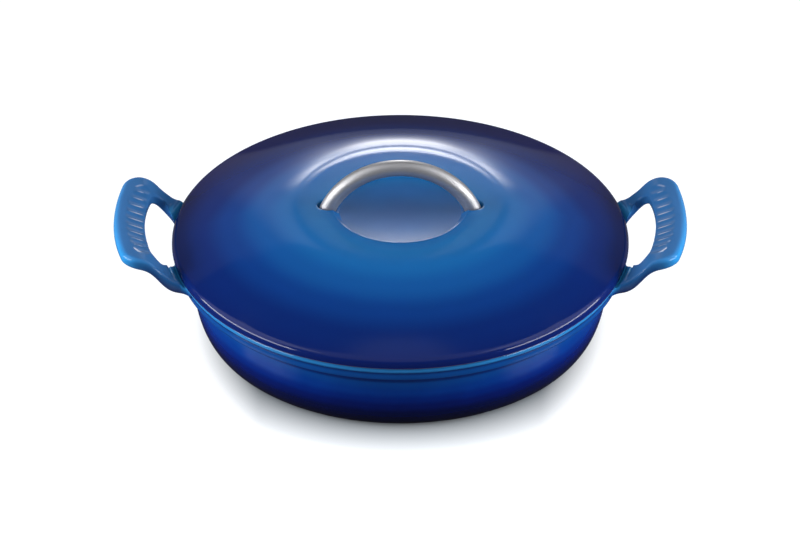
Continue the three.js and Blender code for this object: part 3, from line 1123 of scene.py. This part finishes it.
@dataclass
class Lid:
    """The lid: a dome with a flat crown, a dish, two sockets for the bar and a guide ring below."""

    seat: float = 60.9 * MM
    radius: float = 154 * MM
    edge: float = 7.2 * MM
    edge_round: float = 5.5 * MM
    lower_round: float = 1 * MM
    height: float = 31.7 * MM
    thickness: float = 4.4 * MM
    foot_slope: float = math.radians(23)
    crown_slope: float = math.radians(10.5)
    crown_width: float = 20.3 * MM
    crown_roll: float = 18 * MM
    dish_radius: float = 45.7 * MM
    dish_lip: float = 1.2 * MM
    dish_slope: float = math.radians(44)
    dish_wall: float = 4.4 * MM
    dish_floor: float = 0.5 * MM
    guide_radius: float = 134.5 * MM
    guide_width: float = 4 * MM
    guide_depth: float = 3.5 * MM
    guide_chamfer: float = 0.8 * MM
    socket_offset: float = 48.2 * MM
    socket_radius: float = 7.2 * MM
    socket_depth: float = 4 * MM
    socket_lip: float = 0.6 * MM
    socket_squeeze: float = 0.84
    socket_start: float = 0.1 * MM
    flat_run: float = 12 * MM
    boss_wall: float = 4 * MM
    boss_web: float = 4.5 * MM
    boss_slope: float = 3.0
    boss_soft: float = 1.2 * MM
    boss_spread: float = 1 * MM
    screw_offset: float = 47.5 * MM
    spot_radius: float = 6.3 * MM
    spot_lip: float = 0.3 * MM
    lining_reach: float = 1 * MM
    rim_painted_highlight: float = 0.8
    fine_half: float = math.radians(15)
    fine_columns: int = 64
    coarse_columns: int = 64

    @property
    def crown(self) -> float:
        """Height of the flat crown."""
        return self.seat + self.height

    def upper(self) -> np.ndarray:
        """The top's profile, from the middle of the dish to the edge.

        A dish by the square of the radius, a straight wall, a round lip, the flat crown, a roll, a cubic dome
        and a round edge.

        Returns:
            Radius and height, one row each.
        """
        slope = self.dish_slope
        lip_x = self.dish_radius + self.dish_lip * math.tan(slope / 2)
        foot = (self.dish_radius - self.dish_wall / math.tan(slope), self.crown - self.dish_wall)
        share = np.concatenate([np.linspace(0, 0.9, 24), np.linspace(0.91, 1, 14)])
        dish = np.column_stack([foot[0] * share, foot[1] - self.dish_floor * (1 - share**2)])
        lip = arc((lip_x, self.crown - self.dish_lip), (self.dish_lip,) * 2, QUARTER + slope, QUARTER, 10)
        crown_radius = self.dish_radius + self.crown_width
        roll_radius = self.crown_roll / math.sin(self.crown_slope)
        roll_centre = (crown_radius, self.crown - roll_radius)
        roll = arc(roll_centre, (roll_radius,) * 2, QUARTER, QUARTER - self.crown_slope, 14)
        edge_end = QUARTER - self.foot_slope
        edge_z = self.seat + self.edge - self.edge_round * math.sin(edge_end)
        edge = arc((self.radius - self.edge_round, edge_z), (self.edge_round,) * 2, edge_end, 0, 12)
        top, low = roll[-1], edge[0]
        pull = np.linalg.norm(top - low) / 3
        leave = top + pull * np.array([math.cos(self.crown_slope), -math.sin(self.crown_slope)])
        arrive = low + pull * np.array([-math.cos(self.foot_slope), math.sin(self.foot_slope)])
        dome = cubic(top, leave, arrive, low, 60)
        wall = straight(foot, lip[0], 12)
        near = straight(lip[-1], (self.socket_offset + self.flat_run, self.crown), 34)
        flat = straight(near[-1], roll[0], 6)
        return chain(dish, wall, lip, near, flat, roll, dome, edge)

    def lower(self) -> np.ndarray:
        """The underside's profile, from its middle out over the guide ring and the seat to the edge.

        Returns:
            Radius and height, one row each.
        """
        upper = self.upper()
        inner = self.guide_radius - self.guide_width
        low = self.seat - self.guide_depth
        bevel = self.guide_chamfer
        under = upper[upper[:, 0] < inner - self.thickness] - np.array([0, self.thickness])
        corner = (self.radius - self.lower_round, self.seat + self.lower_round)
        rounded = arc(corner, (self.lower_round,) * 2, -QUARTER, 0, 8)
        ring = [
            [inner, low + bevel],
            [inner + bevel, low],
            [self.guide_radius - bevel, low],
            [self.guide_radius, low + bevel],
            [self.guide_radius, self.seat],
        ]
        return chain(under, ring, rounded)

    def angles(self) -> np.ndarray:
        """Angles round the axis, fine towards the two sockets and wider between them.

        Returns:
            The angles, in radians.
        """
        half = self.fine_half
        fine = np.linspace(-half, half, self.fine_columns, endpoint=False)
        coarse = np.linspace(half, math.pi - half, self.coarse_columns, endpoint=False)
        side = np.concatenate([fine, coarse])
        return np.concatenate([side, side + math.pi])

    def shell(self) -> Shell:
        """The lid: both profiles turned round the axis, with the sockets sunk in and the bosses grown below.

        Returns:
            The closed surface.
        """
        lower, upper = self.lower(), self.upper()
        profile = np.concatenate([lower, upper[::-1]])
        angle = self.angles()
        x = profile[:, :1] * np.cos(angle)[None]
        y = profile[:, :1] * np.sin(angle)[None]
        z = np.repeat(profile[:, 1:], len(angle), axis=1)
        is_top = (np.arange(len(profile)) >= len(lower))[:, None]
        floor = self.crown - self.socket_depth
        face = floor - self.boss_web
        off = np.abs(x) - self.socket_offset
        near, rim = np.hypot(off, y), np.hypot(off, y / self.socket_squeeze)
        sunk = 1 - ease(rim, self.socket_radius - self.socket_start, self.socket_radius + self.socket_lip)
        top = z - sunk * np.maximum(0, z - floor)
        beyond = np.maximum(0, near - self.socket_radius - self.boss_wall + self.boss_spread)
        under = soft_min(z, face + self.boss_slope * beyond, self.boss_soft)
        off_screw = np.hypot(np.abs(x) - self.screw_offset, y)
        spot = 1 - ease(off_screw, self.spot_radius, self.spot_radius + self.spot_lip)
        under = under + spot * (face - under)
        below = profile[:, :1] < self.guide_radius - self.guide_width - self.thickness
        z = np.where(is_top, top, np.where(below, under, z))
        lined = profile[:, :1] < self.guide_radius + self.lining_reach
        inside = np.where(is_top, 0.0, lined * np.ones_like(z))
        # Painted highlight: the lid's lower rounded corner is drawn towards a pale purple-grey.
        lower_corner = (np.abs(profile - [self.radius, self.seat]) < self.lower_round).all(axis=1)[:, None]
        return Shell.turned(np.stack([x, y, z], axis=-1), marks(z, inside=inside, thin=self.rim_painted_highlight * lower_corner))

    def build(self, material: bpy.types.Material) -> None:
        """Makes the lid and dresses it.

        Args:
            material: the lid's enamel.
        """
        dress(self.shell().piece("lid_dome"), material, Body.LID, Slot.LID_ENAMEL, "lid_casting")


@dataclass
class BarHandle:
    """The lid's handle: a bent round bar, and a screw with two washers under each of its ends."""

    crown: float = 92.6 * MM
    reach: float = 47.5 * MM
    diameter: float = 11 * MM
    rise: float = 29.7 * MM
    socket_depth: float = 4 * MM
    boss_web: float = 4.5 * MM
    gap: float = 0.3 * MM
    screw_offset: float = 47.5 * MM
    screw_diameter: float = 5 * MM
    engagement: float = 8 * MM
    chamfer: float = 1.2 * MM
    head_diameter: float = 9.5 * MM
    head_height: float = 3.7 * MM
    head_round: float = 1.2 * MM
    recess_span: float = 5 * MM
    recess_width: float = 1.1 * MM
    recess_depth: float = 2 * MM
    flat_diameter: float = 12 * MM
    flat_thickness: float = 1 * MM
    spring_diameter: float = 9.2 * MM
    spring_thickness: float = 1.2 * MM
    spring_slit: float = math.radians(14)
    washer_edge: float = 0.15 * MM
    edge_break: float = 0.1 * MM
    neck_step: float = 0.2 * MM
    recess_soft: float = 0.12 * MM
    end_margin: float = 0.01 * MM
    small_columns: int = 96
    bar_columns: int = 56
    bar_rows: int = 180

    @property
    def face(self) -> float:
        """Height of the boss's face, which the fixings hang from."""
        return self.crown - self.socket_depth - self.boss_web

    def bar(self) -> Shell:
        """The bar: each fibre is an arc about the bend's centre, as far as a level end.

        Returns:
            The closed surface.
        """
        bend = (self.reach**2 + self.rise**2) / (2 * self.rise)
        centre = self.crown + self.rise - bend
        end = self.crown - self.socket_depth + self.gap
        around = np.linspace(0, 2 * math.pi, self.bar_columns, endpoint=False)[None, :]
        fibre = bend + self.diameter / 2 * np.cos(around)
        along = np.linspace(-1, 1, self.bar_rows)[:, None] * np.arccos((end - centre) / fibre)
        y = np.repeat(self.diameter / 2 * np.sin(around), len(along), axis=0)
        grid = np.stack([fibre * np.sin(along), y, centre + fibre * np.cos(along)], axis=-1)
        return Shell.capped(grid, {})

    def _washer_section(self, bore: float, radius: float, top: float, thickness: float) -> np.ndarray:
        """A washer's section: a rectangle whose corners are broken by a small bevel.

        Args:
            bore: radius of the hole.
            radius: outside radius.
            top: height of the upper face.
            thickness: how far down it goes.

        Returns:
            Radius and height of its eight corners.
        """
        b, low = self.washer_edge, top - thickness
        return np.array(
            [
                [bore + b, low],
                [radius - b, low],
                [radius, low + b],
                [radius, top - b],
                [radius - b, top],
                [bore + b, top],
                [bore, top - b],
                [bore, low + b],
            ]
        )

    @property
    def tops(self) -> tuple[float, float, float]:
        """Where the fixings start, one gap below another.

        Returns:
            Heights of the tops of flat washer, spring washer and screw head.
        """
        flat = self.face - self.gap
        spring = flat - self.flat_thickness - self.gap
        return flat, spring, spring - self.spring_thickness - self.gap

    def screw(self) -> Shell:
        """A pan head screw, head down: a turned profile whose end face has a cross sunk in it.

        Returns:
            The closed surface, on its own axis.
        """
        head, shank = self.head_diameter / 2, self.screw_diameter / 2
        top = self.tops[2]
        low = top - self.head_height
        tip = self.face + self.boss_web + self.engagement
        inner = head - self.head_round
        profile = chain(
            straight((0, low), (inner, low), 44),
            arc((inner, low + self.head_round), (self.head_round,) * 2, -QUARTER, 0, 10),
            [[head, top - self.edge_break], [head - self.edge_break, top], [shank, top]],
            straight((shank, top + self.neck_step), (shank, tip - self.chamfer), 8),
            [[shank - self.chamfer, tip], [0, tip]],
        )
        grid = revolve(profile, self.small_columns)
        x, y = np.abs(grid[..., 0]), np.abs(grid[..., 1])
        half, span, soft = self.recess_width / 2, self.recess_span / 2, self.recess_soft
        one = (1 - ease(x, half, half + soft)) * (1 - ease(y, span, span + soft))
        two = (1 - ease(y, half, half + soft)) * (1 - ease(x, span, span + soft))
        on_end = grid[..., 2] < low + self.end_margin
        grid[..., 2] += self.recess_depth * np.maximum(one, two) * on_end
        return Shell.turned(grid, {})

    def flat_washer(self) -> Shell:
        """A plain ring: a bevelled rectangle turned round the axis.

        Returns:
            The closed surface, on its own axis.
        """
        bore = self.screw_diameter / 2 + self.gap
        section = self._washer_section(bore, self.flat_diameter / 2, self.tops[0], self.flat_thickness)
        return Shell.ring(revolve(section, self.small_columns))

    def spring_washer(self) -> Shell:
        """A split ring: the section carried round from one side of the slit to the other.

        Returns:
            The closed surface, on its own axis.
        """
        bore = self.screw_diameter / 2 + self.gap
        section = self._washer_section(bore, self.spring_diameter / 2, self.tops[1], self.spring_thickness)
        angle = np.linspace(self.spring_slit / 2, 2 * math.pi - self.spring_slit / 2, self.small_columns)
        x = np.cos(angle)[:, None] * section[None, :, 0]
        y = np.sin(angle)[:, None] * section[None, :, 0]
        z = np.repeat(section[None, :, 1], len(angle), axis=0)
        return Shell.capped(np.stack([x, y, z], axis=-1), {})

    def build(self, steel: bpy.types.Material, plain: bpy.types.Material) -> None:
        """Makes the bar and its fixings, and dresses them.

        Args:
            steel: the bar's satin steel.
            plain: the fixings' steel.
        """
        dress(self.bar().piece("grip_bar"), steel, Body.LID, Slot.BAR_STEEL, "lid_bar")
        makers = {
            "bar_screw": self.screw,
            "flat_washer": self.flat_washer,
            "spring_washer": self.spring_washer,
        }
        for side in Side:
            end = side.name.lower()
            for name, maker in makers.items():
                shell = maker()
                shell.points = shell.points + np.array([side.value * self.screw_offset, 0, 0])
                piece = shell.piece(f"{name}_piece_{end}")
                dress(piece, plain, Body.LID, Slot.FIXING_STEEL, f"{name}_{end}")


@dataclass(frozen=True)
class SoftBox:
    """A rectangular studio lamp, aimed at the object, or a pair of them on the right and the left.

    A lamp that isn't mirrored lights the object, but no reflection shows it.
    """

    name: str
    place: tuple[float, float, float]
    width: float
    height: float
    power: float
    mirrored: bool = True
    paired: bool = True

    def build(self, aim: Vector) -> None:
        """Hangs the lamp, and its twin if it has one.

        Args:
            aim: the point that it faces.
        """
        pair = {f"{side.name.lower()}_{self.name}": side.value for side in Side}
        lamps = pair if self.paired else {self.name: 1}
        for name, sign in lamps.items():
            lamp = bpy.data.lights.new(name, "AREA")
            lamp.shape = "RECTANGLE"
            lamp.size, lamp.size_y = self.width, self.height
            lamp.energy = self.power
            box = bpy.data.objects.new(name, lamp)
            box.location = (sign * self.place[0], *self.place[1:])
            box.rotation_euler = (aim - box.location).to_track_quat("-Z", "Y").to_euler()
            box.visible_camera = False
            box.visible_glossy = self.mirrored
            bpy.context.scene.collection.objects.link(box)


@dataclass(frozen=True)
class RearGlow:
    """What the reflector behind the object shows, by the angles in degrees across and above the horizon.

    A haze, and a round soft light in it that fades outwards and is cut off above. The soft light has a dark
    lens across it, bent upwards at its ends, and a narrow dark line.
    """

    haze: tuple[float, float] = (0.2, 0.4)
    haze_rise: tuple[float, float] = (5.0, 25.0)
    haze_sides: tuple[float, float] = (17.0, 25.0)
    side_loss: float = 0.75
    crown_rise: tuple[float, float] = (29.5, 33.5)
    crown_sides: tuple[float, float] = (6.0, 11.0)
    crown_loss: float = 0.85
    strength: float = 9.0
    middle: float = 24.0
    halves: tuple[float, float] = (6.6, 12.0)
    fade: tuple[float, float] = (0.2, 0.12)
    fade_across: float = 7.0
    wing_sides: tuple[float, float] = (2.5, 5.5)
    wing_loss: float = 0.4
    cut_rise: tuple[float, float] = (29.6, 31.2)
    cut_bend: float = 0.03
    lens_middle: float = 22.5
    lens_bend: float = 0.2
    lens_half: tuple[float, float] = (1.9, 0.6)
    lens_sides: tuple[float, float] = (1.0, 4.0)
    lens_edge: tuple[float, float] = (0.85, 1.1)
    lens_loss: float = 0.82
    line_height: float = 28.4
    line_width: float = 0.3
    line_loss: float = 0.8
    upper_rise: tuple[float, float] = (22.0, 25.0)
    upper_gain: float = 0.8

    def haze_light(self, across: np.ndarray, up: np.ndarray) -> np.ndarray:
        """The haze: it rises with the height, and falls off at the sides and above the soft light.

        Args:
            across: angle from the middle, in degrees.
            up: angle above the horizon, in degrees.

        Returns:
            The brightness, where 1 is white.
        """
        aside = np.abs(across)
        rising = self.haze[0] + self.haze[1] * ease(up, *self.haze_rise)
        above = ease(up, *self.crown_rise) * (1 - ease(aside, *self.crown_sides))
        return rising * (1 - self.side_loss * ease(aside, *self.haze_sides)) * (1 - self.crown_loss * above)

    def soft_light(self, across: np.ndarray, up: np.ndarray) -> np.ndarray:
        """The soft light: 1 inside an ellipse, with an exponential fall outside it and a bent edge above.

        Args:
            across: angle from the middle, in degrees.
            up: angle above the horizon, in degrees.

        Returns:
            The share of its full brightness.
        """
        reach = np.hypot(across / self.halves[0], (up - self.middle) / self.halves[1])
        fade = self.fade[0] + self.fade[1] * np.minimum(1, (across / self.fade_across) ** 2)
        wings = 1 - self.wing_loss * ease(np.abs(across), *self.wing_sides)
        cut = 1 - ease(up + self.cut_bend * across**2, *self.cut_rise)
        return wings * np.exp(-np.maximum(0, reach - 1) / fade) * cut

    def light(self, across: np.ndarray, up: np.ndarray) -> np.ndarray:
        """Brightness of the reflector: the haze, and the soft light less its lens and its line.

        Args:
            across: angle from the middle, in degrees.
            up: angle above the horizon, in degrees.

        Returns:
            The brightness, where 1 is white.
        """
        half = self.lens_half[0] + self.lens_half[1] * ease(np.abs(across), *self.lens_sides)
        off = np.abs(up - self.lens_middle - self.lens_bend * across**2)
        lens = 1 - ease(off / half, *self.lens_edge)
        line = bell(up - self.line_height, self.line_width)
        gain = self.strength * (1 + self.upper_gain * ease(up, *self.upper_rise))
        kept = (1 - self.lens_loss * lens) * (1 - self.line_loss * line)
        return self.haze_light(across, up) + gain * self.soft_light(across, up) * kept


@dataclass
class Studio:
    """The floor, the lamps, the surroundings and the camera."""

    floor_radius: float = 4.0
    floor_colour: Colour = (0.2, 0.24, 0.28)
    floor_glow: float = 0.9
    painted_shadow_radii: tuple[float, float] = (0.125, 0.164)
    glow_side: float = 0.6
    glow_side_start: float = 0.095
    floor_columns: int = 192
    fine_rings: int = 40
    floor_inner: tuple[float, ...] = (0.0, 0.08)
    floor_fine: float = 0.2
    floor_outer: tuple[float, ...] = (0.5, 1.0, 2.0)
    surround: Colour = (0.06, 0.06, 0.07)
    distance: float = 14.0
    sensor: float = 36.0
    clip_share: float = 5.0
    elevation: float = math.radians(33.07)
    pixels_per_metre: float = 1482.1
    aim_height: float = 42.8 * MM
    aim_across: float = -0.2 * MM
    card_colour: Colour = (0.06, 0.06, 0.07)
    card_pale: Colour = (0.7, 0.7, 0.72)
    card_radii: tuple[float, float] = (0.128, 2.4)
    card_height: float = 0.4 * MM
    card_columns: int = 240
    card_fine: float = 0.4
    card_outer: tuple[float, ...] = (0.6, 1.0)
    pale_start: tuple[float, float] = (34.0, 46.0)
    pale_end: tuple[float, float] = (70.0, 100.0)
    pale_inner: tuple[float, float] = (0.158, 0.172)
    pale_outer: tuple[float, float] = (0.208, 0.228)
    rear_pale: float = 0.12
    rear_start: tuple[float, float] = (96.0, 116.0)
    rear_inner: tuple[float, float] = (0.25, 1.1)
    shade_across: tuple[float, float] = (0.2, 0.225)
    shade_along: tuple[float, float] = (0.075, 0.095)
    flag_place: float = 0.12
    flag_across: tuple[float, float] = (0.15, 0.32)
    flag_up: tuple[float, float] = (0.001, 0.24)
    flag_light: float = 0.2
    rear: RearGlow = RearGlow()
    reflector_reach: float = 1.9
    reflector_middle: float = 0.09
    reflector_across: float = 36.0
    reflector_up: tuple[float, float] = (-2.5, 42.0)
    reflector_columns: int = 145
    reflector_rows: int = 179
    boxes: tuple[SoftBox, ...] = (
        SoftBox("key", (1.35, -0.08, 1.25), 1.6, 1.3, 8.0),
        SoftBox("low", (1.6, -0.12, 0.42), 1.25, 0.8, 13.0, mirrored=False),
        SoftBox("strip", (1.55, -0.35, 0.42), 1.7, 0.28, 20.0),
        SoftBox("overhead", (0.0, -0.87, 2.5), 4.2, 2.86, 16.0, paired=False),
    )

    def build_floor(self) -> None:
        """Lays a round floor that shows white to the eye, apart from the object's shadow.

        Its glow rises evenly with the distance from the foot, sooner at the sides, and lights nothing. Fading
        out near the foot, the glow paints the contact shadow there; the floor's own shading adds the real
        shadow.
        """
        near, far = self.painted_shadow_radii
        fine = np.linspace(near, self.floor_fine, self.fine_rings)
        radius = np.concatenate([self.floor_inner, fine, self.floor_outer, [self.floor_radius]])[:, None]
        angle = np.linspace(0, 2 * math.pi, self.floor_columns, endpoint=False)
        x, y = radius * np.cos(angle), radius * np.sin(angle)
        # Painted shadow: the glow is zero at the foot and rises outwards, sooner at the sides.
        run = radius + self.glow_side * np.maximum(0, np.abs(x) - self.glow_side_start)
        glow = np.clip((run - near) / (far - near), 0, 1)
        _, board = self._sheet("studio_floor", np.stack([x, y, 0 * x], axis=-1), True, glow)
        rays = board.node("ShaderNodeLightPath").outputs
        seen = [board.number(rays[f"Is {kind} Ray"]) for kind in ("Camera", "Glossy", "Transmission")]
        strength = (seen[0] + seen[1] + seen[2]).clamped() * self.floor_glow
        matt = board.node("ShaderNodeBsdfDiffuse", None, {0: self.floor_colour})
        light = board.node("ShaderNodeEmission", None, {0: board.attribute("shade"), 1: strength})
        both = board.node("ShaderNodeAddShader", None, {0: matt.outputs[0], 1: light.outputs[0]})
        board.output(both)

    def build_floor_card(self) -> None:
        """Lays a ring on the floor that only reflections see: dark, and pale at the front's sides.

        The pale part lies between two bearings from the front, away from the foot and the handles' shadows.
        """
        angle = np.linspace(0, 2 * math.pi, self.card_columns, endpoint=False)
        inner, outer = self.card_radii
        fine = np.linspace(inner, self.card_fine, self.fine_rings)
        radius = np.concatenate([fine, self.card_outer, [outer]])[:, None]
        x, y = radius * np.cos(angle), radius * np.sin(angle)
        bearing = np.degrees(np.arctan2(np.abs(x), -y))
        pale = ease(bearing, *self.pale_start) * (1 - ease(bearing, *self.pale_end))
        pale = pale * ease(radius, *self.pale_inner) * (1 - ease(radius, *self.pale_outer))
        rear = ease(bearing, *self.rear_start) * ease(radius, *self.rear_inner)
        pale = np.maximum(pale, self.rear_pale * rear)
        shadow = (1 - ease(np.abs(x), *self.shade_across)) * (1 - ease(np.abs(y), *self.shade_along))
        ring = np.stack([x, y, np.full_like(x, self.card_height)], axis=-1)
        board = self._card("floor_card", ring, True, pale * (1 - shadow))
        tone = board.mix(board.attribute("shade"), self.card_colour, self.card_pale)
        board.output(board.node("ShaderNodeBsdfDiffuse", None, {0: tone}))

    def build_reflector(self) -> None:
        """Hangs a curved reflector behind the object, which only reflections see: a patch of a sphere."""
        half = self.reflector_across
        columns = np.linspace(-half, half, self.reflector_columns)
        across, up = np.meshgrid(columns, np.linspace(*self.reflector_up, self.reflector_rows))
        a, b = np.radians(across), np.radians(up)
        sphere = np.stack([np.sin(a) * np.cos(b), np.cos(a) * np.cos(b), np.sin(b)], axis=-1)
        grid = self.reflector_reach * sphere + np.array([0, 0, self.reflector_middle])
        self._lit_card("rear_reflector", grid, self.rear.light(across, up))

    def build_flags(self) -> None:
        """Stands a dim flag behind each handle, which keeps the reflector out of its reflections."""
        (near, far), (low, high) = self.flag_across, self.flag_up
        for side in Side:
            corners = [[(side.value * x, self.flag_place, z) for x in (near, far)] for z in (low, high)]
            self._lit_card(f"flag_{side.name.lower()}", np.array(corners), np.full(4, self.flag_light))

    @staticmethod
    def _sheet(
        name: str, grid: np.ndarray, closed: bool, shade: np.ndarray
    ) -> tuple[bpy.types.Object, Board]:
        """Makes a sheet of the studio, with a value at each point.

        Args:
            name: the sheet's name.
            grid: its points, in rows and columns.
            closed: whether the rows close on themselves.
            shade: the values.

        Returns:
            The sheet and the node sheet of its material.
        """
        mesh = bpy.data.meshes.new(name)
        quads = Shell.weave(*grid.shape[:2], False, closed)[:, ::-1]
        mesh.from_pydata(grid.reshape(-1, 3).tolist(), [], quads.tolist())
        layer = mesh.attributes.new("shade", "FLOAT", "POINT")
        layer.data.foreach_set("value", shade.ravel().astype(np.float32))
        sheet = bpy.data.objects.new(name, mesh)
        bpy.context.scene.collection.objects.link(sheet)
        material, board = Board.for_material(name)
        mesh.materials.append(material)
        return sheet, board

    def _card(self, name: str, grid: np.ndarray, closed: bool, shade: np.ndarray) -> Board:
        """Makes a card that only reflections see: it lights nothing and shades nothing.

        Args:
            name: the card's name.
            grid: its points, in rows and columns.
            closed: whether the rows close on themselves.
            shade: a value for each point.

        Returns:
            The node sheet of its material.
        """
        card, board = self._sheet(name, grid, closed, shade)
        card.visible_camera = card.visible_diffuse = card.visible_shadow = False
        return board

    def _lit_card(self, name: str, grid: np.ndarray, shade: np.ndarray) -> None:
        """Makes an open card that shows in reflections as bright as its points' shade."""
        board = self._card(name, grid, False, shade)
        board.output(board.node("ShaderNodeEmission", None, {0: board.attribute("shade")}))

    def build_world(self) -> None:
        """Surrounds the studio with an even dim grey."""
        world = bpy.data.worlds.new("studio")
        world.use_nodes = True
        board = Board(world.node_tree)
        board.output(board.node("ShaderNodeBackground", None, {0: self.surround, 1: 1.0}), "World")
        bpy.context.scene.world = world

    def build_camera(self) -> None:
        """Sets up a long lens far off, at the viewing angle."""
        data = bpy.data.cameras.new("camera")
        data.sensor_width = self.sensor
        data.lens = self.pixels_per_metre * self.distance * self.sensor / IMAGE_WIDTH
        data.clip_end = self.clip_share * self.distance
        camera = bpy.data.objects.new("camera", data)
        aim = Vector((self.aim_across, 0, self.aim_height))
        back = Vector((0, -math.cos(self.elevation), math.sin(self.elevation)))
        camera.location = aim + self.distance * back
        camera.rotation_euler = (-back).to_track_quat("-Z", "Y").to_euler()
        bpy.context.scene.collection.objects.link(camera)
        bpy.context.scene.camera = camera

    def build(self) -> None:
        """Sets the whole studio up."""
        self.build_floor()
        self.build_floor_card()
        self.build_reflector()
        self.build_flags()
        self.build_world()
        self.build_camera()
        for box in self.boxes:
            box.build(Vector((0, 0, self.aim_height)))
        bpy.context.scene.view_settings.view_transform = "Standard"


LINING = srgb(222, 208, 180)

POT_ENAMEL = Enamel(
    name="pot_enamel",
    along=Along.HEIGHT,
    start=0.0,
    end=84 * MM,
    # Darker towards the foot: partly the enamel's own grading, partly painted shade near the floor.
    stops=(
        (0.0, srgb(20, 12, 30)),
        (0.07, srgb(12, 14, 44)),
        (0.16, srgb(8, 17, 66)),
        (0.25, srgb(6, 25, 98)),
        (0.32, srgb(4, 38, 122)),
        (0.4, srgb(6, 56, 140)),
        (0.5, srgb(12, 70, 146)),
        (0.65, srgb(14, 73, 146)),
        (0.71, srgb(44, 104, 168)),
        (1.0, srgb(54, 110, 170)),
    ),
    # Paler blue where the enamel runs thinner at edges; on the handles' ledges it is painted light.
    thin=srgb(46, 142, 210),
    # Dark blue of the painted shade in the hollows and on the handles' side walls.
    pooled=srgb(10, 30, 90),
    # Near white of the painted highlight along the flutes.
    crest=srgb(205, 212, 228),
    inside=LINING,
)

LID_ENAMEL = Enamel(
    name="lid_enamel",
    along=Along.RADIUS,
    start=0.0,
    end=175 * MM,
    rear_shade=0.35,
    stops=(
        (0.0, srgb(24, 83, 148)),
        (0.22, srgb(25, 92, 158)),
        (0.33, srgb(27, 106, 170)),
        (0.43, srgb(25, 102, 171)),
        (0.54, srgb(20, 84, 156)),
        (0.66, srgb(12, 57, 130)),
        (0.77, srgb(9, 38, 107)),
        (1.0, srgb(12, 18, 82)),
    ),
    # Pale purple-grey of the painted highlight on the lid's lower edge.
    thin=srgb(96, 84, 108),
    pooled=srgb(20, 20, 52),
    crest=srgb(205, 212, 228),
    inside=LINING,
)

BAR_STEEL = SatinSteel("bar_steel", srgb(190, 190, 193), 0.42, (120.0, 1600.0, 1600.0), metallic=0.7)
FIXING_STEEL = SatinSteel("fixing_steel", srgb(178, 180, 184), 0.34, (900.0, 900.0, 900.0))


def main() -> None:
    """Builds the studio, the pot, the lid and its bar."""
    logging.basicConfig(level=logging.INFO, format="%(name)s: %(message)s")
    Studio().build()
    Pot().build(POT_ENAMEL.material())
    Lid().build(LID_ENAMEL.material())
    BarHandle().build(BAR_STEEL.material(), FIXING_STEEL.material())


if __name__ == "__main__":
    main()
